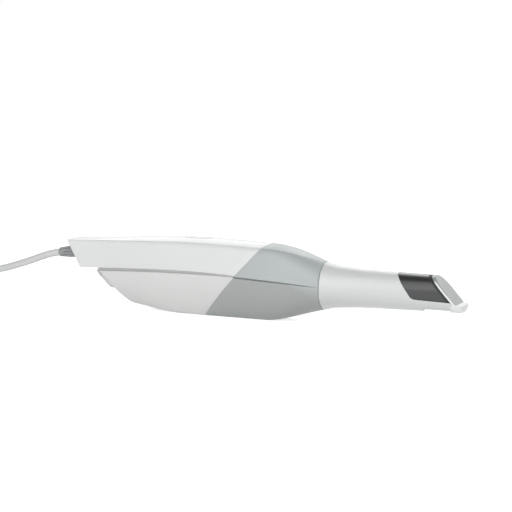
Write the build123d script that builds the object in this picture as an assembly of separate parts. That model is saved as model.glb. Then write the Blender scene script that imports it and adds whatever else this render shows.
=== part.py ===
from build123d import *

import math
import os

# Pen-grip intraoral scanner with a push-on scanning tip and a cable.
# Millimetres. +X runs forward to the tip, +Z up, the belly rests on z = 0,
# and the origin lies under the middle of the scanner's length.

# Overall form
HANDLE_LENGTH = 182.5  # rear edge of the upper cover to the front of the grip sleeve
TIP_LENGTH = 92.5  # tip, from the grip sleeve to the lip
WIDTH = 42.0  # widest point of the upper cover's edge
HEIGHT = 51.0  # highest point of the top above the belly
AXIS_HEIGHT = 24.2  # optical axis above the belly
JOINT_RADIUS = 15.6  # round front of the grip sleeve
WALL = 2.0  # moulded covers and sleeve
SEAM_GAP = 0.3  # shadow line between the upper and the lower cover

# Handle guides: heights and half widths that the moulded shells pass through
CREST_REAR = 45.7  # top of the rear edge
CREST_FRONT = 49.6  # top where it starts to fall to the tip
CREST_FALL = 36.0  # how far behind the tip joint that fall starts
CREST_PEAK = 88.0  # how far behind the tip joint the top is highest
CROWN_REAR = 0.5  # rise of the top's middle over the shoulders
CROWN_MIDDLE = 3.0
EDGE_REAR = 0.714  # half width of the upper cover's edge at its rear, as a share of the widest
EDGE_TAPER = 0.3  # how much narrower the edge is over the belly's rear end
SHOULDER_REAR = 0.6  # half widths of the shoulder line, as shares of the widest
SHOULDER_MIDDLE = 0.8
SEAM_REAR = 26.6  # heights of the seam between upper and lower
SEAM_PEAK = 29.8
SEAM_FALL = 27.8
SEAM_FRONT = 0.7  # seam above the axis at the tip joint
STEP_REAR = 2.6  # how far the upper cover overhangs the lower
STEP_MIDDLE = 1.9
STEP_FRONT = 0.3
BELLY_FRONT = 42.0  # belly's flat, measured back from the tip joint
BELLY_REAR = 92.0
BELLY_FLAT = 0.5  # depth shaved off the keel for the flat
KEEL_STERN = 8.2  # height of the keel line at the stern
SPLIT_BACK = 81.2  # white and grey meet at the belly, behind the tip joint
SPLIT_LEAN = 41.0  # lean of that joint from upright, in degrees
REAR_LEAN = 29.0  # lean of the rear face, in degrees
STERN_AHEAD = 22.5  # stern of the lower cover at the seam, ahead of the rear edge
STERN_LEAN = 42.0  # lean of the stern, in degrees
STERN_ROUND = 3.0  # softened rim of the stern

# Rear cap on the stern
CAP_HALF_WIDTH = 9.5
CAP_DROP = 17.5  # length of the cap down the stern
CAP_BELOW_SEAM = 1.5
CAP_CORNER = 6.0
CAP_PROUD = 2.9
CAP_DEPTH = 1.2  # recess that it sits in
CAP_CLEARANCE = 0.1

# Scanning tip
TIP_WALL = 1.5
TIP_CLEARANCE = 0.3  # tip over the nose, and tip to the sleeve
TIP_FLARE = 8.0  # ahead of the joint, where the flare is half run out
TIP_FLARE_RADIUS = 13.9
TIP_WAIST = 28.0  # ahead of the joint, where the flare has run out
TIP_WAIST_HEIGHT = 12.4  # half height and half width there
TIP_WAIST_WIDTH = 11.8
TIP_END_HEIGHT = 11.0  # half height and half width at the lip
TIP_END_WIDTH = 10.0
TIP_END_ROUND = 0.72  # share of the end's sides taken by its round corners
MIRROR_TILT = 48.0  # mirror from the axis, in degrees
MIRROR_BACK = 18.6  # top of the mirror's outer face, behind the lip's front
MIRROR_THICKNESS = 1.8
COVER_BACK = 43.0  # mirror cover's rear edge at the top, behind the lip's front
COVER_LEAN = 36.0  # lean of that edge from upright, in degrees
COVER_CORNER = 5.0  # round lower corner of the cover
RAIL_HEIGHT = 4.6  # white rails beside the window
LIP_LENGTH = 8.0
LIP_HEIGHT = 5.4
LIP_ROUND = 2.0
WINDOW_LENGTH = 19.0
WINDOW_HALF_WIDTH = 7.0
UNDERCUT = 0.8  # underside hollowed between the tube and the lip

# Nose that carries the tip
NOSE_REACH = 40.0  # beyond the tip joint
NOSE_REAR_BORE = 11.0
NOSE_BORE_START = 6.0  # narrow bore starts this far ahead of the joint
NOSE_FLANGE_RADIUS = 14.2
NOSE_FLANGE_BACK = 11.5  # flange's rear face behind the tip joint
NOSE_FLANGE_THICKNESS = 3.0
NOSE_SCREW_CIRCLE = 12.4
WINDOW_THICKNESS = 2.0
WINDOW_RADIUS = 8.5
LENS_RADIUS = 7.6
LENS_EDGE = 2.4
LENS_BULGE = 1.2
LENS_FIT = 0.05
FRONT_LENS_AHEAD = 28.0  # middle of each relay lens ahead of the joint
REAR_LENS_AHEAD = 9.0
RING_CORD = 0.75  # cord radius of the tip's grip ring
RING_AHEAD = 16.0  # grip ring ahead of the tip joint
RING_FIT = 0.06

# Optical bench
BENCH_FLOOR = 10.0  # underside of the bench plate
BENCH_PLATE = 3.0
BENCH_HALF_WIDTH = 7.0
BULKHEAD = 3.0
BULKHEAD_RADIUS = 14.6
BULKHEAD_BORE = 7.4
MIDDLE_BULKHEAD_BACK = 43.5  # front face of each bulkhead, behind the tip joint
REAR_BULKHEAD_BACK = 69.5
BENCH_SCREW_RADIUS = 1.2
BENCH_SCREW_HEAD = 2.3
BENCH_SCREW_DEPTH = 5.0  # into the boss
BENCH_SCREW_APART = 9.6
BENCH_SCREWS_REAR = 62.5  # screw pairs behind the tip joint
BENCH_SCREWS_FRONT = 21.5
HEAD_HEIGHT = 1.4  # every screw head
BOSS_WALL = 1.7
SCREW_CLEARANCE = 0.06
SCREW_SPARE = 0.5  # hole below a screw's end
PEDESTAL_HALF_WIDTH = 2.2

# Focus drive
ROD_RADIUS = 1.25
ROD_CIRCLE = 12.2  # rods from the axis
ROD_FIT = 0.02
ROD_RUNNING = 0.05
LUG_WALL = 1.6
CARRIAGE_RADIUS = 9.6
CARRIAGE_LENGTH = 6.0
FOCUS_TRAVEL = 2.5  # each way
COIL_INNER = 7.4
COIL_OUTER = 8.3
MAGNET_INNER = 8.8
MAGNET_OUTER = 10.6
MAGNET_LENGTH = 7.6
FOCUS_LENS_RADIUS = 6.4
DRIVE_GAP = 0.6  # between moving and fixed pieces at the ends of the travel

# Light source and camera
PRISM = 14.0  # beam splitter cube
PRISM_AHEAD = 3.0  # from the rear bulkhead
LIGHT_LENS_RADIUS = 5.6
LIGHT_LENS_HEIGHT = 2.2
LIGHT_BOARD = 13.0
BOARD = 1.6  # thickness of every circuit board
SINK_WIDTH = 15.0
SINK_BASE = 1.6
SINK_CLEARANCE = 0.4  # fins under the button board's screws
SINK_FINS = 6
SINK_FIN = 1.0
SENSOR_BOARD = 22.0
SENSOR = 9.0
SENSOR_DEPTH = 1.8

# Electronics in the rear
MAIN_BOARD_WIDTH = 23.0
MAIN_BOARD_REAR = 20.5  # rear end, ahead of the rear edge
MAIN_BOARD_AHEAD = 14.0  # front end, ahead of the front screws
SHIELD_WIDTH = 17.0
SHIELD_HEIGHT = 3.0
SHIELD_CORNER = 1.0
HEADER_LENGTH = 8.0
HEADER_WIDTH = 9.0
HEADER_HEIGHT = 5.0
BOARD_SCREW_RADIUS = 1.0
BOARD_SCREW_HEAD = 1.9
BOARD_SCREW_DEPTH = 4.0  # into the boss
BOARD_SCREW_APART = 15.0
BOSS_CLEARANCE = 1.3  # round the screw bosses

# Scan button
BUTTON_BACK = 90.0  # middle of the button behind the tip joint
BUTTON_LENGTH = 20.0
BUTTON_WIDTH = 12.0
BUTTON_PROUD = 0.4
BUTTON_THICKNESS = 3.0
BUTTON_CLEARANCE = 0.3
BUTTON_TRAVEL = 0.8
BUTTON_RIM = 1.2  # rim that keeps the button in the cover
BUTTON_RIM_HEIGHT = 1.0
BUTTON_STEM_RADIUS = 2.0
BUTTON_STEM = 2.2
SWITCH_SIZE = 6.0
SWITCH_HEIGHT = 2.4
SWITCH_SPARE = 0.1  # left between stem and switch at full press
BUTTON_BOARD_LENGTH = 34.0
BUTTON_BOARD_WIDTH = 13.0
BUTTON_SCREWS_APART = 28.4

# Cable
CABLE_RADIUS = 2.5
RELIEF_ROOT_RADIUS = 5.0
RELIEF_END_RADIUS = 3.1
RELIEF_LENGTH = 18.5
RELIEF_DROP = 6.0  # slope of the strain relief, in degrees
RELIEF_BELOW = 8.9  # where its axis meets the rear face, below the rear edge
RELIEF_NECK = 4.0
RELIEF_RIM = 5.8
RELIEF_RIM_THICKNESS = 1.5
RELIEF_GROOVES = 10
RELIEF_GROOVE = 0.8
RELIEF_GROOVE_INSET = 4.0  # plain length at each end of the flutes
RELIEF_FIT = 0.05
SOCKET_DEPTH = 4.0  # cable seated in the relief's end
CABLE_LEAVE = 10.5  # straight run out of the relief's socket
# Further corners of the cable's route: back and down from the one before
CABLE_STEPS = [(18.0, 7.1), (26.5, 8.4), (22.0, 1.0), (17.0, 0.2), (15.0, 0.0)]
COIL_TURN_RADIUS = 17.0  # middle of the turns in the stored hank's round ends
COIL_STRAIGHT = 34.0  # between the round ends
COIL_ACROSS = 3  # turns side by side
COIL_LAYERS = 4
TIE_WIDTH = 8.0
TIE_THICKNESS = 1.0
PLUG_RADIUS = 6.0
PLUG_LENGTH = 28.0
PLUG_BOOT = 10.0
PLUG_BOOT_END = 3.5
PLUG_SHELL_RADIUS = 4.8
PLUG_SHELL_LENGTH = 12.0
PLUG_SHELL_WALL = 0.8

# Places worked out from the sizes above
LENGTH = HANDLE_LENGTH + TIP_LENGTH
REAR_X = -LENGTH / 2
FRONT_X = LENGTH / 2
JOINT_X = FRONT_X - TIP_LENGTH
HALF_WIDTH = WIDTH / 2
BOSS_RADIUS = BOARD_SCREW_RADIUS + BOSS_WALL
RELIEF_HEIGHT = CREST_REAR - RELIEF_BELOW
STATIONS = 12  # cross sections along each moulded shell
CROWDING = 1.5  # cross sections lie closer towards the tip joint
CORNER_WEIGHT = math.sqrt(0.5)  # a conic corner of this weight is a true quarter round
FULL_ROUND = 0.97
BIG = 2 * LENGTH
OVERLAP = 0.5  # shapes that are joined or cut run into each other by this


# Guide curves

def along(x, guide):
    """Value at x of the smooth curve through a guide's (x, value) points, with no overshoot."""
    xs = [point[0] for point in guide]
    vs = [point[1] for point in guide]
    if x <= xs[0]:
        return vs[0]
    if x >= xs[-1]:
        return vs[-1]
    steps = [b - a for a, b in zip(xs, xs[1:])]
    rises = [(b - a) / s for a, b, s in zip(vs, vs[1:], steps)]
    slopes = [rises[0]]
    for before, after in zip(rises, rises[1:]):
        same_way = before * after > 0
        slopes.append(2 * before * after / (before + after) if same_way else 0.0)
    slopes.append(rises[-1])
    i = max(k for k in range(len(steps)) if xs[k] <= x)
    t = (x - xs[i]) / steps[i]
    rest = 1 - t
    ends = vs[i] * (1 + 2 * t) * rest**2 + vs[i + 1] * t**2 * (3 - 2 * t)
    bends = slopes[i] * t * rest**2 - slopes[i + 1] * t**2 * rest
    return ends + bends * steps[i]


def behind_joint(distance):
    return JOINT_X - distance


STERN_X = REAR_X + STERN_AHEAD
PEAK_X = behind_joint(CREST_PEAK)
FALL_X = behind_joint(CREST_FALL)
BELLY_REAR_X = behind_joint(BELLY_REAR)
BELLY_FRONT_X = behind_joint(BELLY_FRONT)
CREST = [
    (REAR_X, CREST_REAR),
    (PEAK_X, HEIGHT),
    (FALL_X, CREST_FRONT),
    (JOINT_X, AXIS_HEIGHT + JOINT_RADIUS),
]
CROWN = [(REAR_X, CROWN_REAR), (PEAK_X, CROWN_MIDDLE), (FALL_X, CROWN_MIDDLE), (JOINT_X, 0.0)]
EDGE = [
    (REAR_X, EDGE_REAR * HALF_WIDTH),
    (BELLY_REAR_X, HALF_WIDTH - EDGE_TAPER),
    (BELLY_FRONT_X, HALF_WIDTH),
    (JOINT_X, JOINT_RADIUS),
]
SHOULDER = [
    (REAR_X, SHOULDER_REAR * HALF_WIDTH),
    (PEAK_X, SHOULDER_MIDDLE * HALF_WIDTH),
    (FALL_X, SHOULDER_MIDDLE * HALF_WIDTH),
    (JOINT_X, JOINT_RADIUS),
]
SEAM = [
    (REAR_X, SEAM_REAR),
    (BELLY_REAR_X, SEAM_PEAK),
    (FALL_X, SEAM_FALL),
    (JOINT_X, AXIS_HEIGHT + SEAM_FRONT),
]
STEP = [(STERN_X, STEP_REAR), (BELLY_REAR_X, STEP_MIDDLE), (JOINT_X, STEP_FRONT)]
KEEL = [
    (STERN_X, KEEL_STERN),
    (BELLY_REAR_X, -BELLY_FLAT),
    (BELLY_FRONT_X, -BELLY_FLAT),
    (JOINT_X, AXIS_HEIGHT - JOINT_RADIUS),
]
UPPER_ROUND = [(REAR_X, 0.1), (FALL_X, 0.24), (JOINT_X, FULL_ROUND)]
LOWER_ROUND = [(STERN_X, 0.7), (BELLY_FRONT_X, 0.74), (JOINT_X, FULL_ROUND)]
LOWER_TUCK = [(STERN_X, 0.84), (BELLY_FRONT_X, 0.88), (JOINT_X, 1.0)]
FLARE_X = JOINT_X + TIP_FLARE
WAIST_X = JOINT_X + TIP_WAIST
TIP_HEIGHT_GUIDE = [
    (JOINT_X, JOINT_RADIUS),
    (FLARE_X, TIP_FLARE_RADIUS),
    (WAIST_X, TIP_WAIST_HEIGHT),
    (FRONT_X, TIP_END_HEIGHT),
]
TIP_WIDTH_GUIDE = [
    (JOINT_X, JOINT_RADIUS),
    (FLARE_X, TIP_FLARE_RADIUS),
    (WAIST_X, TIP_WAIST_WIDTH),
    (FRONT_X, TIP_END_WIDTH),
]
TIP_ROUND_GUIDE = [(JOINT_X, FULL_ROUND), (FLARE_X, FULL_ROUND), (FRONT_X, TIP_END_ROUND)]


# Helpers

def mix(a, b, share):
    return tuple(p + (q - p) * share for p, q in zip(a, b))


def stations(start, end):
    """Positions from start to end, closer together where the shells meet at the tip joint."""
    shares = [i / (STATIONS - 1) for i in range(STATIONS)]
    nearer_start = abs(start - JOINT_X) < abs(end - JOINT_X)
    bent = [s**CROWDING if nearer_start else 1 - (1 - s) ** CROWDING for s in shares]
    return [start + (end - start) * s for s in bent]


def leaning_plane(x, z, lean):
    """Plane across Y through (x, z) that faces forward and whose top leans forward by lean degrees."""
    a = math.radians(lean)
    return Plane(origin=(x, 0, z), x_dir=(0, 1, 0), z_dir=(math.cos(a), 0, -math.sin(a)))


def upright_plane(x):
    return Plane(origin=(x, 0, 0), z_dir=(1, 0, 0))


def in_front_of(shape, plane, distance=0.0):
    return split(shape, bisect_by=plane.offset(distance), keep=Keep.TOP)


def behind(shape, plane, distance=0.0):
    return split(shape, bisect_by=plane.offset(distance), keep=Keep.BOTTOM)


def above(shape, z):
    return split(shape, bisect_by=Plane.XY.offset(z), keep=Keep.TOP)


def below(shape, z):
    return split(shape, bisect_by=Plane.XY.offset(z), keep=Keep.BOTTOM)


def rim_edges(shape, plane):
    """Edges of a shape that lie in a plane."""
    found = []
    for edge in shape.edges():
        heights = [abs(plane.to_local_coords(edge.position_at(t)).Z) for t in (0, 0.5, 1)]
        if max(heights) < 0.001:
            found.append(edge)
    return found


def block(x_range, y_range, z_range):
    """Box between two values on each axis."""
    (x0, x1), (y0, y1), (z0, z1) = x_range, y_range, z_range
    place = Location(((x0 + x1) / 2, (y0 + y1) / 2, (z0 + z1) / 2))
    return place * Box(x1 - x0, y1 - y0, z1 - z0)


def rod_x(x0, x1, radius, y=0.0, z=AXIS_HEIGHT):
    """Cylinder along X."""
    return Solid.make_cylinder(radius, x1 - x0, Plane(origin=(x0, y, z), z_dir=(1, 0, 0)))


def rod_z(x, y, z0, z1, radius):
    """Upright cylinder."""
    return Solid.make_cylinder(radius, z1 - z0, Plane(origin=(x, y, z0)))


def turned(points):
    """Solid turned about the optical axis from (x, radius) corners."""
    outline = Polyline(*[(x, 0, AXIS_HEIGHT + r) for x, r in points], close=True)
    return revolve(Face(Wire(outline.edges())), Axis((0, 0, AXIS_HEIGHT), (1, 0, 0)))


def lens(x, radius, edge, bulge):
    """Biconvex lens on the axis, centred at x."""
    ball = (radius**2 + bulge**2) / (2 * bulge)
    half = edge / 2
    near = ball - bulge  # distance of each surface's centre behind the lens's edge
    mid = math.sqrt(ball**2 - (radius / 2) ** 2) - near + half

    def at(offset, r):
        return (x + offset, 0, AXIS_HEIGHT + r)

    outline = [
        ThreePointArc(at(half + bulge, 0), at(mid, radius / 2), at(half, radius)),
        Line(at(half, radius), at(-half, radius)),
        ThreePointArc(at(-half, radius), at(-mid, radius / 2), at(-half - bulge, 0)),
        Line(at(-half - bulge, 0), at(half + bulge, 0)),
    ]
    return revolve(Face(Wire(outline)), Axis((0, 0, AXIS_HEIGHT), (1, 0, 0)))


def screw(x, y, seat, depth, radius, head, way):
    """Pan-head screw whose head seats at a height and whose shank runs up (1) or down (-1)."""
    shank = sorted((seat, seat + way * depth))
    cap = sorted((seat, seat - way * HEAD_HEIGHT))
    return rod_z(x, y, *shank, radius) + rod_z(x, y, *cap, head)


# Moulded shells of the handle

def shell_section(x, base, corner, crest_z, roundness):
    """Closed face across X: flat base, straight sides, round corners and a crowned top or keel."""
    handle = (corner[0] * (0.02 + 0.5 * (1 - roundness)), crest_z)
    side_end = mix(corner, base, roundness)
    top_end = mix(corner, handle, roundness)
    weights = [1.0, CORNER_WEIGHT, 1.0]

    def at(point, side):
        return (x, side * point[0], point[1])

    middle = (x, 0, crest_z)
    right = [
        Line(at(base, 1), at(side_end, 1)),
        Bezier(at(side_end, 1), at(corner, 1), at(top_end, 1), weights=weights),
        Bezier(at(top_end, 1), at(handle, 1), middle),
    ]
    left = [
        Bezier(middle, at(handle, -1), at(top_end, -1)),
        Bezier(at(top_end, -1), at(corner, -1), at(side_end, -1), weights=weights),
        Line(at(side_end, -1), at(base, -1)),
    ]
    return Face(Wire([*right, *left, Line(at(base, -1), at(base, 1))]))


def upper_form(inset=0.0, drop=0.0, ledge=0.0):
    """Solid of the handle's upper half, taken in, its base lowered and set in by a share of the step."""
    faces = []
    for x in stations(REAR_X - WALL, JOINT_X):
        crest = along(x, CREST)
        base = (along(x, EDGE) - inset - ledge * along(x, STEP), along(x, SEAM) - drop)
        corner = (along(x, SHOULDER) - inset, crest - along(x, CROWN) - inset)
        faces.append(shell_section(x, base, corner, crest - inset, along(x, UPPER_ROUND)))
    return loft(faces)


def lower_form(inset=0.0, rise=0.0):
    """Solid of the handle's lower half, taken in by inset, its top raised by rise."""
    faces = []
    for x in stations(STERN_X - WALL, JOINT_X):
        edge = along(x, EDGE) - along(x, STEP)
        keel = along(x, KEEL) + inset
        base = (edge - inset, along(x, SEAM) + rise)
        corner = (edge * along(x, LOWER_TUCK) - inset, keel)
        faces.append(shell_section(x, base, corner, keel, along(x, LOWER_ROUND)))
    return loft(faces)


REAR_FACE = leaning_plane(REAR_X, CREST_REAR, -REAR_LEAN)
STERN_FACE = leaning_plane(STERN_X, along(STERN_X, SEAM), -STERN_LEAN)
SPLIT_FACE = leaning_plane(behind_joint(SPLIT_BACK), 0, SPLIT_LEAN)
STERN_WALL = WALL + CAP_DEPTH
BUTTON_X = behind_joint(BUTTON_BACK)
BUTTON_FLOOR = along(BUTTON_X, CREST) - BUTTON_THICKNESS  # underside of the button's cap
RIM_FLOOR = BUTTON_FLOOR - BUTTON_RIM_HEIGHT
STEM_END = RIM_FLOOR - BUTTON_STEM
SWITCH_TOP = STEM_END - BUTTON_TRAVEL - SWITCH_SPARE
BUTTON_BOARD_TOP = SWITCH_TOP - SWITCH_HEIGHT
MAIN_BOARD_X = REAR_X + MAIN_BOARD_REAR
MAIN_SCREWS_REAR = MAIN_BOARD_X + BOSS_RADIUS + BOSS_CLEARANCE
MAIN_SCREWS_FRONT = BUTTON_X - BUTTON_BOARD_LENGTH / 2 - BOSS_RADIUS - BOSS_CLEARANCE
MAIN_BOARD_FRONT = MAIN_SCREWS_FRONT + MAIN_BOARD_AHEAD
BENCH_TOP = BENCH_FLOOR + BENCH_PLATE
BENCH_SCREW_POINTS = [
    (behind_joint(back), side * BENCH_SCREW_APART / 2)
    for back in (BENCH_SCREWS_REAR, BENCH_SCREWS_FRONT)
    for side in (-1, 1)
]
MAIN_SCREW_POINTS = [
    (x, side * BOARD_SCREW_APART / 2)
    for x in (MAIN_SCREWS_REAR, MAIN_SCREWS_FRONT)
    for side in (-1, 1)
]
BUTTON_SCREW_POINTS = [(BUTTON_X + side * BUTTON_SCREWS_APART / 2, 0) for side in (-1, 1)]
BOARD_SCREW_HOLE = BOARD_SCREW_RADIUS + SCREW_CLEARANCE
BENCH_SCREW_HOLE = BENCH_SCREW_RADIUS + SCREW_CLEARANCE


def button_outline(grow):
    """Upright prism of the button's oval, grown all round."""
    oval = SlotOverall(BUTTON_LENGTH + 2 * grow, BUTTON_WIDTH + 2 * grow)
    return Location((BUTTON_X, 0, 0)) * extrude(oval, HEIGHT + OVERLAP)


def relief_plane():
    """Plane where the strain relief's axis crosses the rear face, facing out along the axis."""
    x = REAR_X + (CREST_REAR - RELIEF_HEIGHT) * math.tan(math.radians(REAR_LEAN))
    a = math.radians(RELIEF_DROP)
    return Plane(origin=(x, 0, RELIEF_HEIGHT), x_dir=(0, 1, 0), z_dir=(-math.cos(a), 0, -math.sin(a)))


RELIEF = relief_plane()
LEAD_RISE = (MAIN_BOARD_X - RELIEF.origin.X) * math.tan(math.radians(RELIEF_DROP))
MAIN_BOARD_TOP = RELIEF_HEIGHT + LEAD_RISE - HEADER_HEIGHT / 2  # the lead meets the header's middle
MAIN_BOARD_HEIGHT = MAIN_BOARD_TOP - BOARD  # underside


def relief_rod(start, end, radius):
    """Cylinder on the strain relief's axis, measured outwards from the rear face."""
    return Solid.make_cylinder(radius, end - start, RELIEF.offset(start))


def cap_form(grow=0.0):
    """Rear cap on the stern, grown all round for the recess that it sits in."""
    outline = RectangleRounded(2 * (CAP_HALF_WIDTH + grow), CAP_DROP + 2 * grow, CAP_CORNER)
    face = STERN_FACE.offset(-CAP_PROUD) * Pos(0, -CAP_DROP / 2 - CAP_BELOW_SEAM, 0) * outline
    return extrude(face, CAP_PROUD + CAP_DEPTH, dir=STERN_FACE.z_dir)


def handle_cavity():
    """Room inside the covers and the sleeve."""
    room = in_front_of(upper_form(WALL, OVERLAP, 1.0), REAR_FACE, WALL)
    floor = block((-BIG, STERN_X + STERN_WALL), (-BIG, BIG), (0, along(STERN_X, SEAM) + WALL))
    return (room - floor) + in_front_of(lower_form(WALL, OVERLAP), STERN_FACE, STERN_WALL)


def upper_cover(cavity):
    """White upper shell with screw bosses, the button's opening and the gland's hole."""
    whole = in_front_of(upper_form(0, -SEAM_GAP / 2), REAR_FACE)
    whole = behind(whole, SPLIT_FACE)
    cover = whole - cavity
    seats = [(x, y, MAIN_BOARD_TOP) for x, y in MAIN_SCREW_POINTS]
    seats += [(x, y, BUTTON_BOARD_TOP) for x, y in BUTTON_SCREW_POINTS]
    for x, y, seat in seats:
        cover += rod_z(x, y, seat, HEIGHT, BOSS_RADIUS) & whole
    for x, y, seat in seats:
        cover -= rod_z(x, y, seat, seat + BOARD_SCREW_DEPTH + SCREW_SPARE, BOARD_SCREW_HOLE)
    cover -= button_outline(BUTTON_CLEARANCE)
    return cover - relief_rod(-RELIEF_LENGTH, RELIEF_LENGTH, RELIEF_NECK + RELIEF_FIT)


def lower_cover(cavity):
    """White lower shell with a rounded stern and the rear cap's recess."""
    whole = in_front_of(lower_form(0, -SEAM_GAP / 2), STERN_FACE)
    below_top = along(STERN_X, SEAM) - 1.0
    rim = [edge for edge in rim_edges(whole, STERN_FACE) if edge.center().Z < below_top]
    whole = behind(fillet(rim, STERN_ROUND), SPLIT_FACE)
    return above(whole - cavity, 0) - cap_form(CAP_CLEARANCE)


def grip_sleeve(cavity):
    """Grey front shell, closed all round, with bosses for the optical bench."""
    whole = in_front_of(upper_form(0, OVERLAP) + lower_form(), SPLIT_FACE)
    sleeve = whole - cavity
    for x, y in BENCH_SCREW_POINTS:
        sleeve += rod_z(x, y, 0, BENCH_FLOOR, BENCH_SCREW_RADIUS + BOSS_WALL) & whole
    hole = BENCH_SCREW_DEPTH + SCREW_SPARE
    for x, y in BENCH_SCREW_POINTS:
        sleeve -= rod_z(x, y, BENCH_FLOOR - hole, BENCH_FLOOR, BENCH_SCREW_HOLE)
    return above(sleeve, 0)


def rear_cap():
    cap = cap_form()
    return fillet(rim_edges(cap, STERN_FACE.offset(-CAP_PROUD)), 0.8 * CAP_PROUD)


def scan_button():
    """Oval cap that follows the cover's top, with a retaining rim and a stem to the switch."""
    cap = above(upper_form() & button_outline(0), BUTTON_FLOOR - BUTTON_PROUD)
    oval = SlotOverall(BUTTON_LENGTH + 2 * BUTTON_RIM, BUTTON_WIDTH + 2 * BUTTON_RIM)
    rim = Location((BUTTON_X, 0, RIM_FLOOR)) * extrude(oval, BUTTON_RIM_HEIGHT)
    stem = rod_z(BUTTON_X, 0, STEM_END, RIM_FLOOR + OVERLAP, BUTTON_STEM_RADIUS)
    return Pos(0, 0, BUTTON_PROUD) * cap + rim + stem


def button_board():
    half_long, half_wide = BUTTON_BOARD_LENGTH / 2, BUTTON_BOARD_WIDTH / 2
    z_range = (BUTTON_BOARD_TOP - BOARD, BUTTON_BOARD_TOP)
    board = block((BUTTON_X - half_long, BUTTON_X + half_long), (-half_wide, half_wide), z_range)
    for x, y in BUTTON_SCREW_POINTS:
        board -= rod_z(x, y, *z_range, BOARD_SCREW_HOLE)
    return board


def button_switch():
    half = SWITCH_SIZE / 2
    return block((BUTTON_X - half, BUTTON_X + half), (-half, half), (BUTTON_BOARD_TOP, SWITCH_TOP))


# Scanning tip

def tube_section(x, half_width, half_height, roundness):
    """Closed face across the tip: straight sides joined by round corners."""
    weights = [1.0, CORNER_WEIGHT, 1.0]
    flat_y, flat_z = half_width * (1 - roundness), half_height * (1 - roundness)
    edges = []
    for side, up in ((1, 1), (-1, 1), (-1, -1), (1, -1)):
        on_side = (x, side * half_width, AXIS_HEIGHT + up * flat_z)
        corner = (x, side * half_width, AXIS_HEIGHT + up * half_height)
        on_top = (x, side * flat_y, AXIS_HEIGHT + up * half_height)
        to_top = side * up > 0
        start, end = (on_side, on_top) if to_top else (on_top, on_side)
        edges.append(Bezier(start, corner, end, weights=weights))
        across = (x, -end[1], end[2]) if to_top else (x, end[1], 2 * AXIS_HEIGHT - end[2])
        edges.append(Line(end, across))
    return Face(Wire(edges))


def tip_form(inset=0.0, end=FRONT_X):
    """Solid of the tip from the joint to its end, taken in all round by inset."""
    faces = []
    for x in stations(JOINT_X + TIP_CLEARANCE, end):
        half_width = along(x, TIP_WIDTH_GUIDE) - inset
        half_height = along(x, TIP_HEIGHT_GUIDE) - inset
        faces.append(tube_section(x, half_width, half_height, along(x, TIP_ROUND_GUIDE)))
    return loft(faces)


TIP_TOP = AXIS_HEIGHT + TIP_END_HEIGHT
TIP_FLOOR = AXIS_HEIGHT - TIP_END_HEIGHT
LIP_X = FRONT_X - LIP_LENGTH
LIP_TOP = TIP_FLOOR + LIP_HEIGHT
RAIL_TOP = TIP_FLOOR + RAIL_HEIGHT
WINDOW_RANGE = (LIP_X - WINDOW_LENGTH, LIP_X)
MIRROR_FACE = leaning_plane(FRONT_X - MIRROR_BACK, TIP_TOP, MIRROR_TILT - 90)


def cover_zone():
    """Prism across the tip that the mirror cover takes up, seen from the side."""
    lean = math.tan(math.radians(COVER_LEAN))
    rear = FRONT_X - COVER_BACK
    foot = rear + (TIP_TOP - RAIL_TOP) * lean
    front = FRONT_X + WIDTH
    start = (rear - (HEIGHT - TIP_TOP) * lean, HEIGHT)
    outline = Polyline(start, (foot, RAIL_TOP), (front, RAIL_TOP), (front, HEIGHT), close=True)
    face = Face(Wire(outline.edges()))
    lowest = face.vertices().sort_by(Axis.Y)[:2]
    face = fillet(lowest.sort_by(Axis.X)[0], COVER_CORNER)
    return extrude(Plane.XZ * face, WIDTH, both=True)


def tip_pieces():
    """White sleeve with its rails and lip, dark mirror cover and mirror plate."""
    outer = tip_form()
    shell = outer - tip_form(TIP_WALL, LIP_X)
    zone = behind(cover_zone(), MIRROR_FACE, -MIRROR_THICKNESS)
    front = block((JOINT_X, FRONT_X + 1), (-WIDTH, WIDTH), (LIP_TOP, HEIGHT))
    front = in_front_of(front, MIRROR_FACE, -MIRROR_THICKNESS)
    sleeve = shell - zone - front
    sleeve -= block(WINDOW_RANGE, (-WINDOW_HALF_WIDTH, WINDOW_HALF_WIDTH), (0, AXIS_HEIGHT))
    hollow = (WINDOW_RANGE[0], LIP_X - TIP_WALL)
    sleeve -= block(hollow, (-WIDTH, WIDTH), (0, TIP_FLOOR + UNDERCUT))
    sleeve = fillet(rim_edges(sleeve, upright_plane(FRONT_X)), LIP_ROUND)
    mirror = behind(outer & front, MIRROR_FACE)
    return {"tip_sleeve": sleeve, "mirror_cover": shell & zone, "tip_mirror": mirror}


# Nose and lenses

NOSE_END = JOINT_X + NOSE_REACH
NOSE_FLANGE_X = behind_joint(NOSE_FLANGE_BACK)
NOSE_FLANGE_FRONT = NOSE_FLANGE_X + NOSE_FLANGE_THICKNESS
NOSE_ROOT = JOINT_RADIUS - STEP_FRONT - WALL - TIP_CLEARANCE
BORE = LENS_RADIUS + LENS_FIT
RING_X = JOINT_X + RING_AHEAD
RING_RADIUS = along(RING_X, TIP_WIDTH_GUIDE) - TIP_WALL - RING_FIT - RING_CORD
NOSE_SCREW_POINTS = [
    (NOSE_SCREW_CIRCLE * math.cos(a), AXIS_HEIGHT + NOSE_SCREW_CIRCLE * math.sin(a))
    for a in (math.radians(45 + 90 * k) for k in range(4))
]


def nose_radius(x):
    return min(NOSE_ROOT, along(x, TIP_WIDTH_GUIDE) - TIP_WALL - TIP_CLEARANCE)


def grip_ring(cord=RING_CORD):
    """Rubber ring that holds the tip on the nose."""
    return Plane(origin=(RING_X, 0, AXIS_HEIGHT), z_dir=(1, 0, 0)) * Torus(RING_RADIUS, cord)


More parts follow.
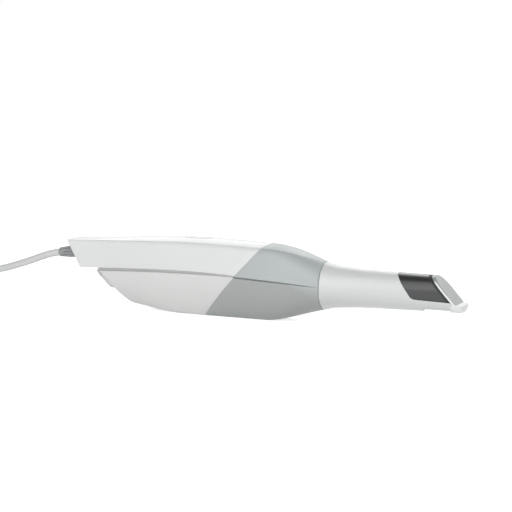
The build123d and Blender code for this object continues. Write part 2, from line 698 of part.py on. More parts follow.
def nose_tube():
    """Turned snout: flange, root and a taper that follows the inside of the tip."""
    reaches = [JOINT_X + 1 + (NOSE_REACH - 1) * k / 8 for k in range(9)]
    outline = [
        (NOSE_FLANGE_X, NOSE_REAR_BORE),
        (NOSE_FLANGE_X, NOSE_FLANGE_RADIUS),
        (NOSE_FLANGE_FRONT, NOSE_FLANGE_RADIUS),
        (NOSE_FLANGE_FRONT, NOSE_ROOT),
        *[(x, nose_radius(x)) for x in reaches],
        (NOSE_END, WINDOW_RADIUS + LENS_FIT),
        (NOSE_END - WINDOW_THICKNESS, WINDOW_RADIUS + LENS_FIT),
        (NOSE_END - WINDOW_THICKNESS, BORE),
        (JOINT_X + NOSE_BORE_START, BORE),
        (JOINT_X + NOSE_BORE_START, NOSE_REAR_BORE),
    ]
    nose = turned(outline) - grip_ring(RING_CORD + RING_FIT)
    for y, z in NOSE_SCREW_POINTS:
        nose -= rod_x(NOSE_FLANGE_X, NOSE_FLANGE_FRONT, BOARD_SCREW_HOLE, y, z)
    return nose


def nose_window():
    return rod_x(NOSE_END - WINDOW_THICKNESS, NOSE_END, WINDOW_RADIUS)


def front_lens():
    return lens(JOINT_X + FRONT_LENS_AHEAD, LENS_RADIUS, LENS_EDGE, LENS_BULGE)


def rear_lens():
    return lens(JOINT_X + REAR_LENS_AHEAD, LENS_RADIUS, LENS_EDGE, LENS_BULGE)


# Optical bench and focus drive

FRONT_BULKHEAD_X = NOSE_FLANGE_X - BULKHEAD
MIDDLE_BULKHEAD_X = behind_joint(MIDDLE_BULKHEAD_BACK) - BULKHEAD
REAR_BULKHEAD_X = behind_joint(REAR_BULKHEAD_BACK) - BULKHEAD
PRISM_X = REAR_BULKHEAD_X + BULKHEAD + PRISM_AHEAD
PRISM_MIDDLE = PRISM_X + PRISM / 2
LIGHT_LENS_Z = AXIS_HEIGHT + PRISM / 2 + LENS_FIT
LIGHT_BOARD_Z = LIGHT_LENS_Z + LIGHT_LENS_HEIGHT
SINK_Z = LIGHT_BOARD_Z + BOARD
SINK_TOP = BUTTON_BOARD_TOP - BOARD - HEAD_HEIGHT - SINK_CLEARANCE
SINK_RANGE = (REAR_BULKHEAD_X, MIDDLE_BULKHEAD_X + BULKHEAD)
MAGNET_X = MIDDLE_BULKHEAD_X + BULKHEAD
COIL_X = MAGNET_X + FOCUS_TRAVEL + DRIVE_GAP
CARRIAGE_X = MAGNET_X + MAGNET_LENGTH + FOCUS_TRAVEL + DRIVE_GAP
CARRIAGE_FRONT = CARRIAGE_X + CARRIAGE_LENGTH
ROD_SIDES = (-ROD_CIRCLE, ROD_CIRCLE)


def optical_bench():
    """Machined plate with three bored bulkheads, a prism pedestal and bores for the guide rods."""
    half = BENCH_HALF_WIDTH
    bench = block((REAR_BULKHEAD_X, NOSE_FLANGE_X), (-half, half), (BENCH_FLOOR, BENCH_TOP))
    for x in (REAR_BULKHEAD_X, MIDDLE_BULKHEAD_X):
        bench += below(rod_x(x, x + BULKHEAD, BULKHEAD_RADIUS), SINK_Z)
    bench += rod_x(FRONT_BULKHEAD_X, NOSE_FLANGE_X, BULKHEAD_RADIUS)
    stand = (-PEDESTAL_HALF_WIDTH, PEDESTAL_HALF_WIDTH)
    bench += block((PRISM_X, PRISM_X + PRISM), stand, (BENCH_FLOOR, AXIS_HEIGHT))
    bench -= beam_splitter()
    bench -= rod_x(REAR_BULKHEAD_X, NOSE_FLANGE_X, BULKHEAD_BORE)
    for y in ROD_SIDES:
        bench -= rod_x(MIDDLE_BULKHEAD_X, NOSE_FLANGE_X, ROD_RADIUS + ROD_FIT, y)
    for x, y in BENCH_SCREW_POINTS:
        bench -= rod_z(x, y, BENCH_FLOOR, BENCH_TOP, BENCH_SCREW_HOLE)
    for y, z in NOSE_SCREW_POINTS:
        bench -= rod_x(FRONT_BULKHEAD_X, NOSE_FLANGE_X, BOARD_SCREW_HOLE, y, z)
    return bench


def bench_screws():
    sizes = (BENCH_PLATE + BENCH_SCREW_DEPTH, BENCH_SCREW_RADIUS, BENCH_SCREW_HEAD)
    return Compound([screw(x, y, BENCH_TOP, *sizes, -1) for x, y in BENCH_SCREW_POINTS])


def nose_screws():
    """Screws from behind the front bulkhead into the nose's flange."""
    items = []
    for y, z in NOSE_SCREW_POINTS:
        shank = rod_x(FRONT_BULKHEAD_X, NOSE_FLANGE_FRONT, BOARD_SCREW_RADIUS, y, z)
        head = rod_x(FRONT_BULKHEAD_X - HEAD_HEIGHT, FRONT_BULKHEAD_X, BOARD_SCREW_HEAD, y, z)
        items.append(shank + head)
    return Compound(items)


def guide_rods():
    return Compound([rod_x(MIDDLE_BULKHEAD_X, NOSE_FLANGE_X, ROD_RADIUS, y) for y in ROD_SIDES])


def drive_magnet():
    ends = (MAGNET_X, MAGNET_X + MAGNET_LENGTH)
    return rod_x(*ends, MAGNET_OUTER) - rod_x(*ends, MAGNET_INNER)


def drive_coil():
    ends = (COIL_X, CARRIAGE_X)
    return rod_x(*ends, COIL_OUTER) - rod_x(*ends, COIL_INNER)


def focus_carriage():
    """Lens holder that runs on the two guide rods."""
    ends = (CARRIAGE_X, CARRIAGE_FRONT)
    lug = ROD_RADIUS + LUG_WALL
    body = rod_x(*ends, CARRIAGE_RADIUS)
    body += block(ends, ROD_SIDES, (AXIS_HEIGHT - lug, AXIS_HEIGHT + lug))
    for y in ROD_SIDES:
        body += rod_x(*ends, lug, y)
    for y in ROD_SIDES:
        body -= rod_x(*ends, ROD_RADIUS + ROD_RUNNING, y)
    return body - rod_x(*ends, FOCUS_LENS_RADIUS + LENS_FIT)


def focus_lens():
    return lens((CARRIAGE_X + CARRIAGE_FRONT) / 2, FOCUS_LENS_RADIUS, LENS_EDGE, LENS_BULGE)


# Light source and camera

def beam_splitter():
    half = PRISM / 2
    return block((PRISM_X, PRISM_X + PRISM), (-half, half), (AXIS_HEIGHT - half, AXIS_HEIGHT + half))


def light_lens():
    return rod_z(PRISM_MIDDLE, 0, LIGHT_LENS_Z, LIGHT_BOARD_Z, LIGHT_LENS_RADIUS)


def light_board():
    half = LIGHT_BOARD / 2
    return block((PRISM_MIDDLE - half, PRISM_MIDDLE + half), (-half, half), (LIGHT_BOARD_Z, SINK_Z))


def heat_sink():
    """Base plate across two bulkheads with lengthwise fins."""
    half = SINK_WIDTH / 2
    sink = block(SINK_RANGE, (-half, half), (SINK_Z, SINK_Z + SINK_BASE))
    pitch = (SINK_WIDTH - SINK_FIN) / (SINK_FINS - 1)
    for k in range(SINK_FINS):
        y = -half + k * pitch
        sink += block(SINK_RANGE, (y, y + SINK_FIN), (SINK_Z, SINK_TOP))
    return sink


def sensor_board():
    half = SENSOR_BOARD / 2
    z_range = (AXIS_HEIGHT - half, AXIS_HEIGHT + half)
    return block((REAR_BULKHEAD_X - BOARD, REAR_BULKHEAD_X), (-half, half), z_range)


def image_sensor():
    half = SENSOR / 2
    z_range = (AXIS_HEIGHT - half, AXIS_HEIGHT + half)
    return block((REAR_BULKHEAD_X, REAR_BULKHEAD_X + SENSOR_DEPTH), (-half, half), z_range)


# Electronics and cable entry

def main_board():
    half = MAIN_BOARD_WIDTH / 2
    x_range = (MAIN_BOARD_X, MAIN_BOARD_FRONT)
    board = block(x_range, (-half, half), (MAIN_BOARD_HEIGHT, MAIN_BOARD_TOP))
    for x, y in MAIN_SCREW_POINTS:
        board -= rod_z(x, y, MAIN_BOARD_HEIGHT, MAIN_BOARD_TOP, BOARD_SCREW_HOLE)
    return board


def board_shield():
    """Screening can between the header and the front screws."""
    half = SHIELD_WIDTH / 2
    rear = MAIN_BOARD_X + HEADER_LENGTH + BOSS_CLEARANCE
    front = MAIN_SCREWS_FRONT - BOSS_RADIUS - BOSS_CLEARANCE
    can = block((rear, front), (-half, half), (MAIN_BOARD_TOP, MAIN_BOARD_TOP + SHIELD_HEIGHT))
    return fillet(can.edges().filter_by(Axis.Z), SHIELD_CORNER)


def cable_header():
    half = HEADER_WIDTH / 2
    z_range = (MAIN_BOARD_TOP, MAIN_BOARD_TOP + HEADER_HEIGHT)
    return block((MAIN_BOARD_X, MAIN_BOARD_X + HEADER_LENGTH), (-half, half), z_range)


def board_screws():
    """Screws of the main board and of the button's board, put in from below."""
    sizes = (BOARD + BOARD_SCREW_DEPTH, BOARD_SCREW_RADIUS, BOARD_SCREW_HEAD)
    seats = [(x, y, MAIN_BOARD_HEIGHT) for x, y in MAIN_SCREW_POINTS]
    seats += [(x, y, BUTTON_BOARD_TOP - BOARD) for x, y in BUTTON_SCREW_POINTS]
    return Compound([screw(x, y, z, *sizes, 1) for x, y, z in seats])


RIM_FACE = WALL + RELIEF_FIT  # gland's rim behind the rear face
RIM_BACK = RIM_FACE + RELIEF_RIM_THICKNESS


def strain_relief():
    """Tapered, fluted gland with a neck through the rear wall and a rim behind it."""
    taper = (RELIEF_ROOT_RADIUS - RELIEF_END_RADIUS) / RELIEF_LENGTH
    run_in = RELIEF_ROOT_RADIUS
    root = RELIEF_ROOT_RADIUS + run_in * taper
    cone = Solid.make_cone(root, RELIEF_END_RADIUS, RELIEF_LENGTH + run_in, RELIEF.offset(-run_in))
    gland = behind(cone, REAR_FACE)
    first, last = RELIEF_GROOVE_INSET, RELIEF_LENGTH - RELIEF_GROOVE_INSET
    for k in range(RELIEF_GROOVES):
        a = 2 * math.pi * (k + 0.5) / RELIEF_GROOVES
        ends = []
        for out in (first, last):
            r = RELIEF_ROOT_RADIUS - out * taper + RELIEF_GROOVE / 3
            ends.append(RELIEF.from_local_coords(Vector(r * math.cos(a), r * math.sin(a), out)))
        line = ends[1] - ends[0]
        gland -= Solid.make_cylinder(RELIEF_GROOVE, line.length, Plane(origin=ends[0], z_dir=line))
    long = (-RELIEF_LENGTH, RELIEF_LENGTH)
    neck = behind(in_front_of(relief_rod(*long, RELIEF_NECK), REAR_FACE), REAR_FACE, RIM_BACK)
    rim = behind(in_front_of(relief_rod(*long, RELIEF_RIM), REAR_FACE, RIM_FACE), REAR_FACE, RIM_BACK)
    socket = relief_rod(RELIEF_LENGTH - SOCKET_DEPTH, RELIEF_LENGTH, CABLE_RADIUS + RELIEF_FIT)
    return gland + neck + rim - socket


def inner_lead():
    """Short length of cable from the gland to the header on the main board."""
    lead = in_front_of(relief_rod(-2 * RELIEF_LENGTH, 0, CABLE_RADIUS), REAR_FACE, RIM_BACK)
    return behind(lead, upright_plane(MAIN_BOARD_X))


def cable_corners():
    """Corners of the cable's route from the gland to the stored coil."""
    start = RELIEF.from_local_coords(Vector(0, 0, RELIEF_LENGTH - SOCKET_DEPTH))
    corners = [start, start + RELIEF.z_dir * CABLE_LEAVE]
    for back, down in CABLE_STEPS:
        corners.append(corners[-1] - Vector(back, 0, down))
    return corners


def bend_radii(corners):
    """Largest arc that each corner's two runs allow."""
    radii = []
    for a, b, c in zip(corners, corners[1:], corners[2:]):
        before, after = b - a, c - b
        turn = math.radians(before.get_angle(after))
        radii.append(0.45 * min(before.length, after.length) / math.tan(turn / 2))
    return radii


CABLE_CORNERS = cable_corners()
PITCH = 2 * CABLE_RADIUS
COIL_INSIDE = COIL_TURN_RADIUS - COIL_ACROSS * CABLE_RADIUS
COIL_OUTSIDE = COIL_TURN_RADIUS + COIL_ACROSS * CABLE_RADIUS
COIL_TOP = COIL_LAYERS * PITCH
COIL_AT = Vector(CABLE_CORNERS[-1].X, CABLE_RADIUS - COIL_OUTSIDE, 0)
PLUG_AT = Vector(COIL_AT.X + PLUG_LENGTH / 2, COIL_AT.Y + COIL_TURN_RADIUS, COIL_TOP + PLUG_RADIUS)


def cable():
    """Cord from the gland to the stored coil."""
    corners = CABLE_CORNERS
    radii = bend_radii(corners)
    print("cable bend radii", [round(r, 1) for r in radii])
    path = FilletPolyline(*corners, radius=radii)
    section = Plane(origin=corners[0], z_dir=corners[1] - corners[0]) * Circle(CABLE_RADIUS)
    tube = sweep(section, path=path)
    print("cable volume", round(tube.volume), "expected", round(math.pi * CABLE_RADIUS**2 * path.length))
    return tube


def coil_ring(take_in=0.0):
    """Outer shape of the stored turns, two straights and two round ends, taken in all round."""
    outer, inner = 2 * (COIL_OUTSIDE - take_in), 2 * (COIL_INSIDE + take_in)
    ring = SlotCenterToCenter(COIL_STRAIGHT, outer) - SlotCenterToCenter(COIL_STRAIGHT, inner)
    return extrude(Pos(COIL_AT.X, COIL_AT.Y, take_in) * ring, COIL_TOP - 2 * take_in)


def cable_tie():
    """Band round one straight of the stored turns."""
    x_range = (COIL_AT.X - TIE_WIDTH / 2, COIL_AT.X + TIE_WIDTH / 2)
    y_range = (COIL_AT.Y - 2 * COIL_OUTSIDE, COIL_AT.Y)
    return (coil_ring() - coil_ring(TIE_THICKNESS)) & block(x_range, y_range, (0, COIL_TOP))


def cable_coil():
    """Stored turns with a flat where the cable runs in and a waist under the tie."""
    run_in = COIL_AT.Y + COIL_OUTSIDE - PITCH - RELIEF_FIT
    far = 2 * COIL_OUTSIDE
    ring = coil_ring() - block((COIL_AT.X, COIL_AT.X + far), (run_in, run_in + far), (0, COIL_TOP))
    return ring - cable_tie()


def plug_rod(start, end, radius):
    """Cylinder along the plug, measured from the boot's side of its grip."""
    plane = Plane(origin=PLUG_AT - Vector(start, 0, 0), z_dir=(-1, 0, 0))
    return Solid.make_cylinder(radius, end - start, plane)


def plug_body():
    """Round grip with a tapered boot, lying on the coil."""
    plane = Plane(origin=PLUG_AT + Vector(PLUG_BOOT, 0, 0), z_dir=(-1, 0, 0))
    boot = Solid.make_cone(PLUG_BOOT_END, PLUG_SHELL_RADIUS, PLUG_BOOT, plane)
    return plug_rod(0, PLUG_LENGTH, PLUG_RADIUS) + boot


def plug_shell():
    end = PLUG_LENGTH + PLUG_SHELL_LENGTH
    tube = plug_rod(PLUG_LENGTH, end, PLUG_SHELL_RADIUS)
    return tube - plug_rod(PLUG_LENGTH + PLUG_SHELL_WALL, end, PLUG_SHELL_RADIUS - PLUG_SHELL_WALL)


def all_pieces():
    """Every piece by its name."""
    cavity = handle_cavity()
    pieces = {make.__name__: make(cavity) for make in (upper_cover, lower_cover, grip_sleeve)}
    pieces.update(tip_pieces())
    makers = [
        rear_cap, scan_button, button_board, button_switch,
        nose_tube, nose_window, grip_ring, front_lens, rear_lens,
        optical_bench, bench_screws, nose_screws,
        guide_rods, drive_magnet, drive_coil, focus_carriage, focus_lens,
        beam_splitter, light_lens, light_board, heat_sink, sensor_board, image_sensor,
        main_board, board_shield, cable_header, board_screws, strain_relief, inner_lead,
        cable, cable_coil, cable_tie, plug_body, plug_shell,
    ]
    pieces.update({make.__name__: make() for make in makers})
    return pieces


os.makedirs("parts", exist_ok=True)
for name, piece in all_pieces().items():
    export_step(piece, f"parts/{name}.step")
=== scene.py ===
"""Pen-grip intraoral scanner: its dressed pieces, their finishes and a plain studio, laid out as an add-on."""
import math

import bmesh
import bpy
import numpy as np
from bpy.props import FloatProperty, FloatVectorProperty, IntProperty, PointerProperty
from mathutils import Matrix, Vector


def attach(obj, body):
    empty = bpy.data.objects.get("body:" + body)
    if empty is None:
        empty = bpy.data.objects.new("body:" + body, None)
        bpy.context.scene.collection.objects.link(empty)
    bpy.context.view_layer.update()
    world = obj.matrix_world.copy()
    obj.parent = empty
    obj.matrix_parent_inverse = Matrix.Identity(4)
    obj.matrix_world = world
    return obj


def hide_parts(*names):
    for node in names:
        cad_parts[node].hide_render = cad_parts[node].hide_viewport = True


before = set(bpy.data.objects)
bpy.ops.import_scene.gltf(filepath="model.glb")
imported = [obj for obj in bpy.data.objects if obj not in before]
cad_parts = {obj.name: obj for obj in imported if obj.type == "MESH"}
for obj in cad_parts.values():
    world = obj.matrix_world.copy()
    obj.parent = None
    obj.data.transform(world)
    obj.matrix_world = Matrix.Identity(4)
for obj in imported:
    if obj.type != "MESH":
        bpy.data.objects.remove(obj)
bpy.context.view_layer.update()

bl_info = {
    "name": "Intraoral scanner",
    "version": (1, 0, 0),
    "blender": (4, 5, 0),
    "location": "View3D > Sidebar > Scanner",
    "description": "Builds the shells, tip, cable and finishes of a pen-grip intraoral scanner",
    "category": "Object",
}

MM = 0.001

# Places along the scanner, in millimetres
REAR = -137.5
STERN = -115.0
BELLY_REAR = -47.0
PEAK = -43.0
BELLY_FRONT = 3.0
FALL = 9.0
JOINT = 45.0
AXIS = 24.2
JOINT_RADIUS = 15.6
REAR_TOP = 45.7
BUTTON_AT = -45.0
BUTTON_FLOOR = 48.0
BUTTON_REACH = 4.0  # from the middle of the oval button to the centres of its round ends
BUTTON_RADIUS = 6.0

# Guides of the moulded handle: (x, value) points that each smooth curve passes through
CREST = ((REAR, REAR_TOP), (PEAK, 51.0), (FALL, 49.6), (JOINT, AXIS + JOINT_RADIUS))
CROWN = ((REAR, 0.5), (PEAK, 3.0), (FALL, 3.0), (JOINT, 0.0))
EDGE = ((REAR, 15.0), (BELLY_REAR, 20.7), (BELLY_FRONT, 21.0), (JOINT, JOINT_RADIUS))
SHOULDER = ((REAR, 12.6), (PEAK, 16.8), (FALL, 16.8), (JOINT, JOINT_RADIUS))
SEAM = ((REAR, 26.6), (BELLY_REAR, 29.8), (FALL, 27.8), (JOINT, AXIS + 0.7))
STEP = ((STERN, 2.6), (BELLY_REAR, 1.9), (JOINT, 0.3))
KEEL = ((STERN, 8.2), (BELLY_REAR, -0.5), (BELLY_FRONT, -0.5), (JOINT, AXIS - JOINT_RADIUS))
UPPER_ROUND = ((REAR, 0.1), (FALL, 0.24), (JOINT, 0.97))
LOWER_ROUND = ((STERN, 0.7), (BELLY_FRONT, 0.74), (JOINT, 0.97))
LOWER_TUCK = ((STERN, 0.84), (BELLY_FRONT, 0.88), (JOINT, 1.0))
LOWER_LIP = ((STERN, 2.1), (BELLY_REAR, 1.9), (-12.0, 1.0), (FALL, 0.95), (30.0, 0.7), (JOINT, 0.05))
# Painted shade: below the seam the sleeve is painted a darker grey for the shade on its underside, its edge spread
# over this depth towards the joint
SLEEVE_SHADE_FADE = ((22.0, 0.0), (JOINT, 10.0))  # depth over which the sleeve's two greys meet

# Sections of the handle: points on each stretch of half a section, and the forms of its edge as (across, back) shares
# of the edge's radius
EDGE_POINTS, SIDE_POINTS, CORNER_POINTS, CROWN_POINTS = 3, 8, 10, 13
ARC = EDGE_POINTS + SIDE_POINTS + CORNER_POINTS + CROWN_POINTS
FLOOR_SHARES = (0.0, 0.33, 0.67, 1.0)
EDGE_ROUND = ((1.0, 1.0), (0.5, 0.866), (0.134, 0.5))
EDGE_REBATE = ((1.0, 1.0), (1.0, 0.3), (0.2, 0.05))
EDGE_MOST = 0.8  # share of a section's side that its edge may take
UPPER_LIP = 0.25
UPPER_LIP_MOST = 0.45  # share of the step between the covers that the upper edge's round may take
HANDLE_LEAST, HANDLE_SPAN = 0.02, 0.5  # the crown's handle, as shares of the shoulder
SEAM_GAP = 0.3
SLEEVE_DROP = 0.5  # groove of the sleeve under the seam line
WALL = 2.0
STERN_WALL = 3.2
OPEN_COLUMNS = 3  # columns on each side of the middle that a cover leaves open
RIM_ROWS = (5, 4)  # rows of a shell's first and last rim
REAR_FAN = (0.0, 0.35, 0.7)  # rows from the gland's hole to the rear rim, as shares of the way
STERN_FAN = (0.05, 0.5, 0.85)  # and from the stern's middle to its rim
SHELL_SHARP = 48.0  # edges of a shell over this many degrees stay sharp
SOLID_SHARP = 32.0  # and those of a solid that keeps its shape

# Planes that end the shells, and the middle height that their search starts from
REAR_FACE = -139.5
REAR_LEAN = math.radians(33.6)
STERN_FACE = -117.2
STERN_LEAN = math.radians(46.5)
SPLIT_LEAN = math.radians(41)
SPLIT_FOOT = JOINT - 81.2
MIDDLE_HEIGHT = 30.0
SWEEP_TRIES = 24

# Rear cap: half sizes, corner and (taken in, height) rings from its foot to its face
CAP_HALF = (9.5, 8.75)
CAP_CORNER = 4.2
CAP_DROP = 0.3
CAP_RINGS = (
    (4.0, -1.2), (1.2, -1.2), (1.2, 0.6), (0.0, 0.9), (0.0, 2.2), (0.06, 2.45), (0.22, 2.68), (0.45, 2.84),
    (0.75, 2.9), (1.6, 2.92), (5.0, 2.94),
)
CAP_ENDS = (-1.2, 2.95)

# Button: (taken in, height) rings of its face over the cover, and of its rim and stem under it
BUTTON_PROUD = 0.15
BUTTON_FACE = (
    (0.0, -3.4), (0.0, -0.45), (0.05, -0.27), (0.18, -0.1), (0.42, 0.0), (1.0, 0.03), (1.8, -0.04), (2.6, -0.16),
    (3.6, -0.24), (4.8, -0.28), (5.9, -0.3),
)
BUTTON_UNDER = ((-1.2, 0.0), (-1.2, -1.0), (3.9, -1.0), (3.99, -3.1), (4.1, -3.2), (5.9, -3.2))
STEM_RADII = (2.0, 2.0, 1.9, 0.0)
STEM_SPREAD = 2.5  # how far the oval is drawn in along its length before its points are shared round the stem

# Tip: the dark cover's leaning rear edge, the white foot under its dark part, the range of x where the lip is painted
# whiter as painted light, and the slanted mirror
COVER_TOP = (94.5, 35.2)
COVER_LEAN = math.radians(36)
FOOT_END = (131.0, 19.7)
FOOT_SLOPE = 0.033
FOOT_ROUND = 1.7
LIP_PAINTED_LIGHT = (0.1285, 0.1315)
MIRROR_TILT = math.radians(48)
MIRROR_NORMAL = (math.sin(MIRROR_TILT), 0.0, math.cos(MIRROR_TILT))

# Cable: its gland, its route to the stored hank, the hank's turns and the plug that lies on it
RELIEF_HEIGHT = REAR_TOP - 8.9
RELIEF_AT = np.array((-132.57, 0.0, RELIEF_HEIGHT))
RELIEF_DROP = math.radians(6)
RELIEF_OUT = np.array((-math.cos(RELIEF_DROP), 0.0, -math.sin(RELIEF_DROP)))
RELIEF_LENGTH = 18.5
RELIEF_ROOT = 5.0
RELIEF_END = 3.1
RELIEF_ROUND = 0.6
RELIEF_SUNK = 1.5  # how far its root reaches into the cover
FLUTES = 10
FLUTE_DEPTH = 0.85
FLUTE_ENDS = (3.2, 2.6)  # ribs left plain at its root and its end
FLUTE_RUN = 1.2  # length over which a flute runs out
FLUTE_FORM = 0.6  # power of the cosine: the lower, the rounder the flutes and the narrower the ribs
GLAND_HOLE = 4.05
SOCKET_RADIUS = 2.56
SOCKET_DEPTH = 4.0
CABLE_START = RELIEF_AT + (RELIEF_LENGTH - SOCKET_DEPTH) * RELIEF_OUT
CABLE_LEAD = 10.5
CABLE_STEPS = ((18.0, 7.1), (26.5, 8.4), (22.0, 1.0), (17.0, 0.2))
HANK_AT = np.array((-255.93, -22.0))
HANK_STRAIGHT = 34.0
HANK_RADII = (22.0, 17.0, 12.0)
HANK_LAYERS = (17.5, 12.5, 7.5, 2.5)
HANK_TOP = 20.0
HANK_TIED = 0.24  # how far the tie draws the turns together
HANK_PRESSED = 0.7  # and the layers, as a share of that
SHIFT_BEGIN = 0.6  # share of the second end at which the cable shifts in the top layer
SHIFT_LAYER = 0.2  # how much sooner in each layer under it
SHIFT_DOWN = 0.1  # how much sooner where it goes down a layer
SHIFT_RUN = 0.4
TAIL_ANGLES = (-72, -50, -28, -6, 16, 38, 60)
TAIL_RADII = (23.0, 25.5, 27.6, 28.2, 27.6, 25.2, 21.5)
TAIL_HEIGHTS = (2.7, 4.6, 9.0, 14.6, 20.0, 24.0, 25.8)
TAIL_BOOT = (10.6, 6.5)  # points that lead into the plug's boot, ahead of the plug's place
BAND_HALF = 7.5
BAND_CORNER = 3.0
BAND_RINGS = ((0.9, -3.9), (0.15, -4.0), (0.0, -3.75), (0.0, 3.75), (0.15, 4.0), (0.9, 3.9), (0.9, -3.9))
PLUG_RADIUS = 6.0
PLUG_AT = (HANK_AT[0] + 14.0, HANK_AT[1] + HANK_RADII[1], HANK_TOP + PLUG_RADIUS)

# Plug: the boot with its relief rings, the grip's ribs, and outlines as (radius, reach) points: cable socket, neck,
# front, and the plated shell from its root out
BOOT_LENGTH = 10.0
BOOT_RADIUS = 3.5
BOOT_FLARE = 0.13
BOOT_RING_DEPTH = 0.35
BOOT_RING_PITCH = 2.5
BOOT_RING_ENDS = (1.0, 9.0)
RIBS = 30
RIB_DEPTH = 0.3
RIB_ENDS = (14.0, 34.0)
RIB_RUN = 2.0
PLUG_SOCKET = ((0.0, 3.6), (SOCKET_RADIUS, 3.6), (SOCKET_RADIUS, 0.0), (3.2, 0.0))
PLUG_NECK = ((4.9, 10.0), (5.5, 10.05), (5.85, 10.3), (PLUG_RADIUS, 10.8))
PLUG_GRIP = (11.4, 36.6)
PLUG_FRONT = ((PLUG_RADIUS, 37.2), (5.85, 37.7), (5.5, 37.95), (4.85, 38.0), (4.0, 38.0), (0.0, 38.0))
PLUG_SHELL = (
    (0.0, 38.0), (4.5, 38.0), (4.8, 38.6), (4.8, 45.1), (4.62, 45.4), (4.62, 46.2), (4.8, 46.5), (4.8, 49.6),
    (4.68, 49.9), (4.4, 50.0), (4.12, 49.9), (4.0, 49.6), (4.0, 39.2), (3.4, 38.9), (0.0, 38.9),
)

# Studio: pixels across the picture, the sensor's width, the scanner's middle, where it shows in pixels right of and
# below the picture's middle, and what the lamps point at
PICTURE = 512
SENSOR = 36.0
MIDDLE = (0.0, 0.0, 0.0256)
SHOWN_AT = (5.8, 23.0)
LAMP_TARGET = Vector((0.0, 0.0, 0.02))


# Surfaces

def along(x, points):
    """Value at x of a smooth curve through (x, value) points: cubic Hermite pieces whose inner slopes are the
    harmonic mean of the rises on both sides, or zero where the rise changes sign, held level past both ends."""
    xs, vs = np.array(points, float).T
    steps = np.diff(xs)
    rises = np.diff(vs) / steps
    product = rises[:-1] * rises[1:]
    total = np.where(product > 0, rises[:-1] + rises[1:], 1.0)
    slopes = np.concatenate([rises[:1], np.where(product > 0, 2 * product / total, 0.0), rises[-1:]])
    x = np.clip(x, xs[0], xs[-1])
    i = np.clip(np.searchsorted(xs, x, side="right") - 1, 0, len(steps) - 1)
    t = (x - xs[i]) / steps[i]
    rest = 1 - t
    ends = vs[i] * (1 + 2 * t) * rest**2 + vs[i + 1] * t**2 * (3 - 2 * t)
    return ends + steps[i] * (slopes[i] * t * rest**2 - slopes[i + 1] * t**2 * rest)


def rear_plane(z):
    """x of the leaning rear face at a height."""
    return REAR_FACE + (REAR_TOP - z) * math.tan(REAR_LEAN)


def stern_plane(z):
    """x of the leaning stern of the lower cover at a height."""
    return STERN_FACE + (along(STERN_FACE, SEAM) - z) * math.tan(STERN_LEAN)


def split_plane(z):
    """x where white meets grey at a height."""
    return SPLIT_FOOT + z * math.tan(SPLIT_LEAN)


def joint_plane(z):
    """x of the grip sleeve's front."""
    return JOINT + 0 * z


def handle_share(share):
    """How far out the crown's handle lies, as a share of the shoulder, for the share of its sides that the corner
    takes."""
    return HANDLE_LEAST + HANDLE_SPAN * (1 - share)


def half_arc(x, sizes, way):
    """Half of a shell's section, from its edge to its middle: a round or a rebate at the edge, a straight side from
    base towards corner, a conic corner of weight root one half, and a quadratic curve that ends level in the middle
    at height crest. x has one column, or one a point; sizes(x) gives base, corner, crest, share of the sides that the
    corner takes, and the edge's radius; way is 1 for a half that rises from its edge and -1 for one that falls."""
    def mix(a, b, share):
        return a[0] + (b[0] - a[0]) * share, a[1] + (b[1] - a[1]) * share

    def blend(weights, points):
        return [sum(w * v[k] for w, v in zip(weights, points)) for k in (0, 1)]

    def marks(x):
        base, corner, crest, share, lip = sizes(x)
        handle = (corner[0] * handle_share(share), crest)
        side_end, top_end = mix(corner, base, share), mix(corner, handle, share)
        side = np.maximum(np.abs(side_end[1] - base[1]), 0.001)
        lip = np.minimum(lip, EDGE_MOST * side)
        start = lip / side
        return base, side_end, corner, top_end, handle, (0 * x, crest), start, lip

    ends = np.cumsum((EDGE_POINTS, SIDE_POINTS, CORNER_POINTS))
    edge_x, side_x, corner_x, crown_x = np.split(np.broadcast_to(x, (len(x), ARC)), ends, axis=1)
    base, side_end, *_, start, lip = marks(edge_x)
    across, back = np.array(EDGE_ROUND if way > 0 else EDGE_REBATE).T
    edge = mix(base, side_end, start)
    parts = [(edge[0] - lip * across, edge[1] - way * lip * back)]
    base, side_end, *_, start, _ = marks(side_x)
    parts.append(mix(base, side_end, start + (1 - start) * np.linspace(0, 1, SIDE_POINTS, endpoint=False)))
    _, *three, _, _, _, _ = marks(corner_x)
    t = np.linspace(0, 1, CORNER_POINTS, endpoint=False)
    weights = ((1 - t) ** 2, 2 * t * (1 - t) * math.sqrt(0.5), t**2)
    parts.append([value / sum(weights) for value in blend(weights, three)])
    _, _, _, *three, _, _ = marks(crown_x)
    t = np.linspace(0, 1, CROWN_POINTS)
    parts.append(blend(((1 - t) ** 2, 2 * t * (1 - t), t**2), three))
    return [np.concatenate([part[k] for part in parts], axis=1) for k in (0, 1)]


def eased(share):
    """0 below 0, 1 above 1 and smooth between."""
    share = np.clip(share, 0, 1)
    return share * share * (3 - 2 * share)


def between(value, ends, run):
    """1 between two ends, falling to 0 over a run inside each of them."""
    return np.clip((value - ends[0]) / run, 0, 1) * np.clip((ends[1] - value) / run, 0, 1)


def column(values):
    """A column of numbers, one for each row of a grid."""
    return np.asarray(values, float)[:, None]


def upper_half(x, inset, drop, ledge=0.0):
    """Upper half section at the rows x: the edge's outer round, side, shoulder and crown, taken in by inset. The edge
    lies drop below the seam line."""
    def sizes(x):
        crest = along(x, CREST)
        base = (along(x, EDGE) - inset - ledge * along(x, STEP), along(x, SEAM) - drop)
        corner = (along(x, SHOULDER) - inset, crest - along(x, CROWN) - inset)
        lip = np.minimum(UPPER_LIP, UPPER_LIP_MOST * along(x, STEP))
        return base, corner, crest - inset, along(x, UPPER_ROUND), lip

    return half_arc(x, sizes, 1)


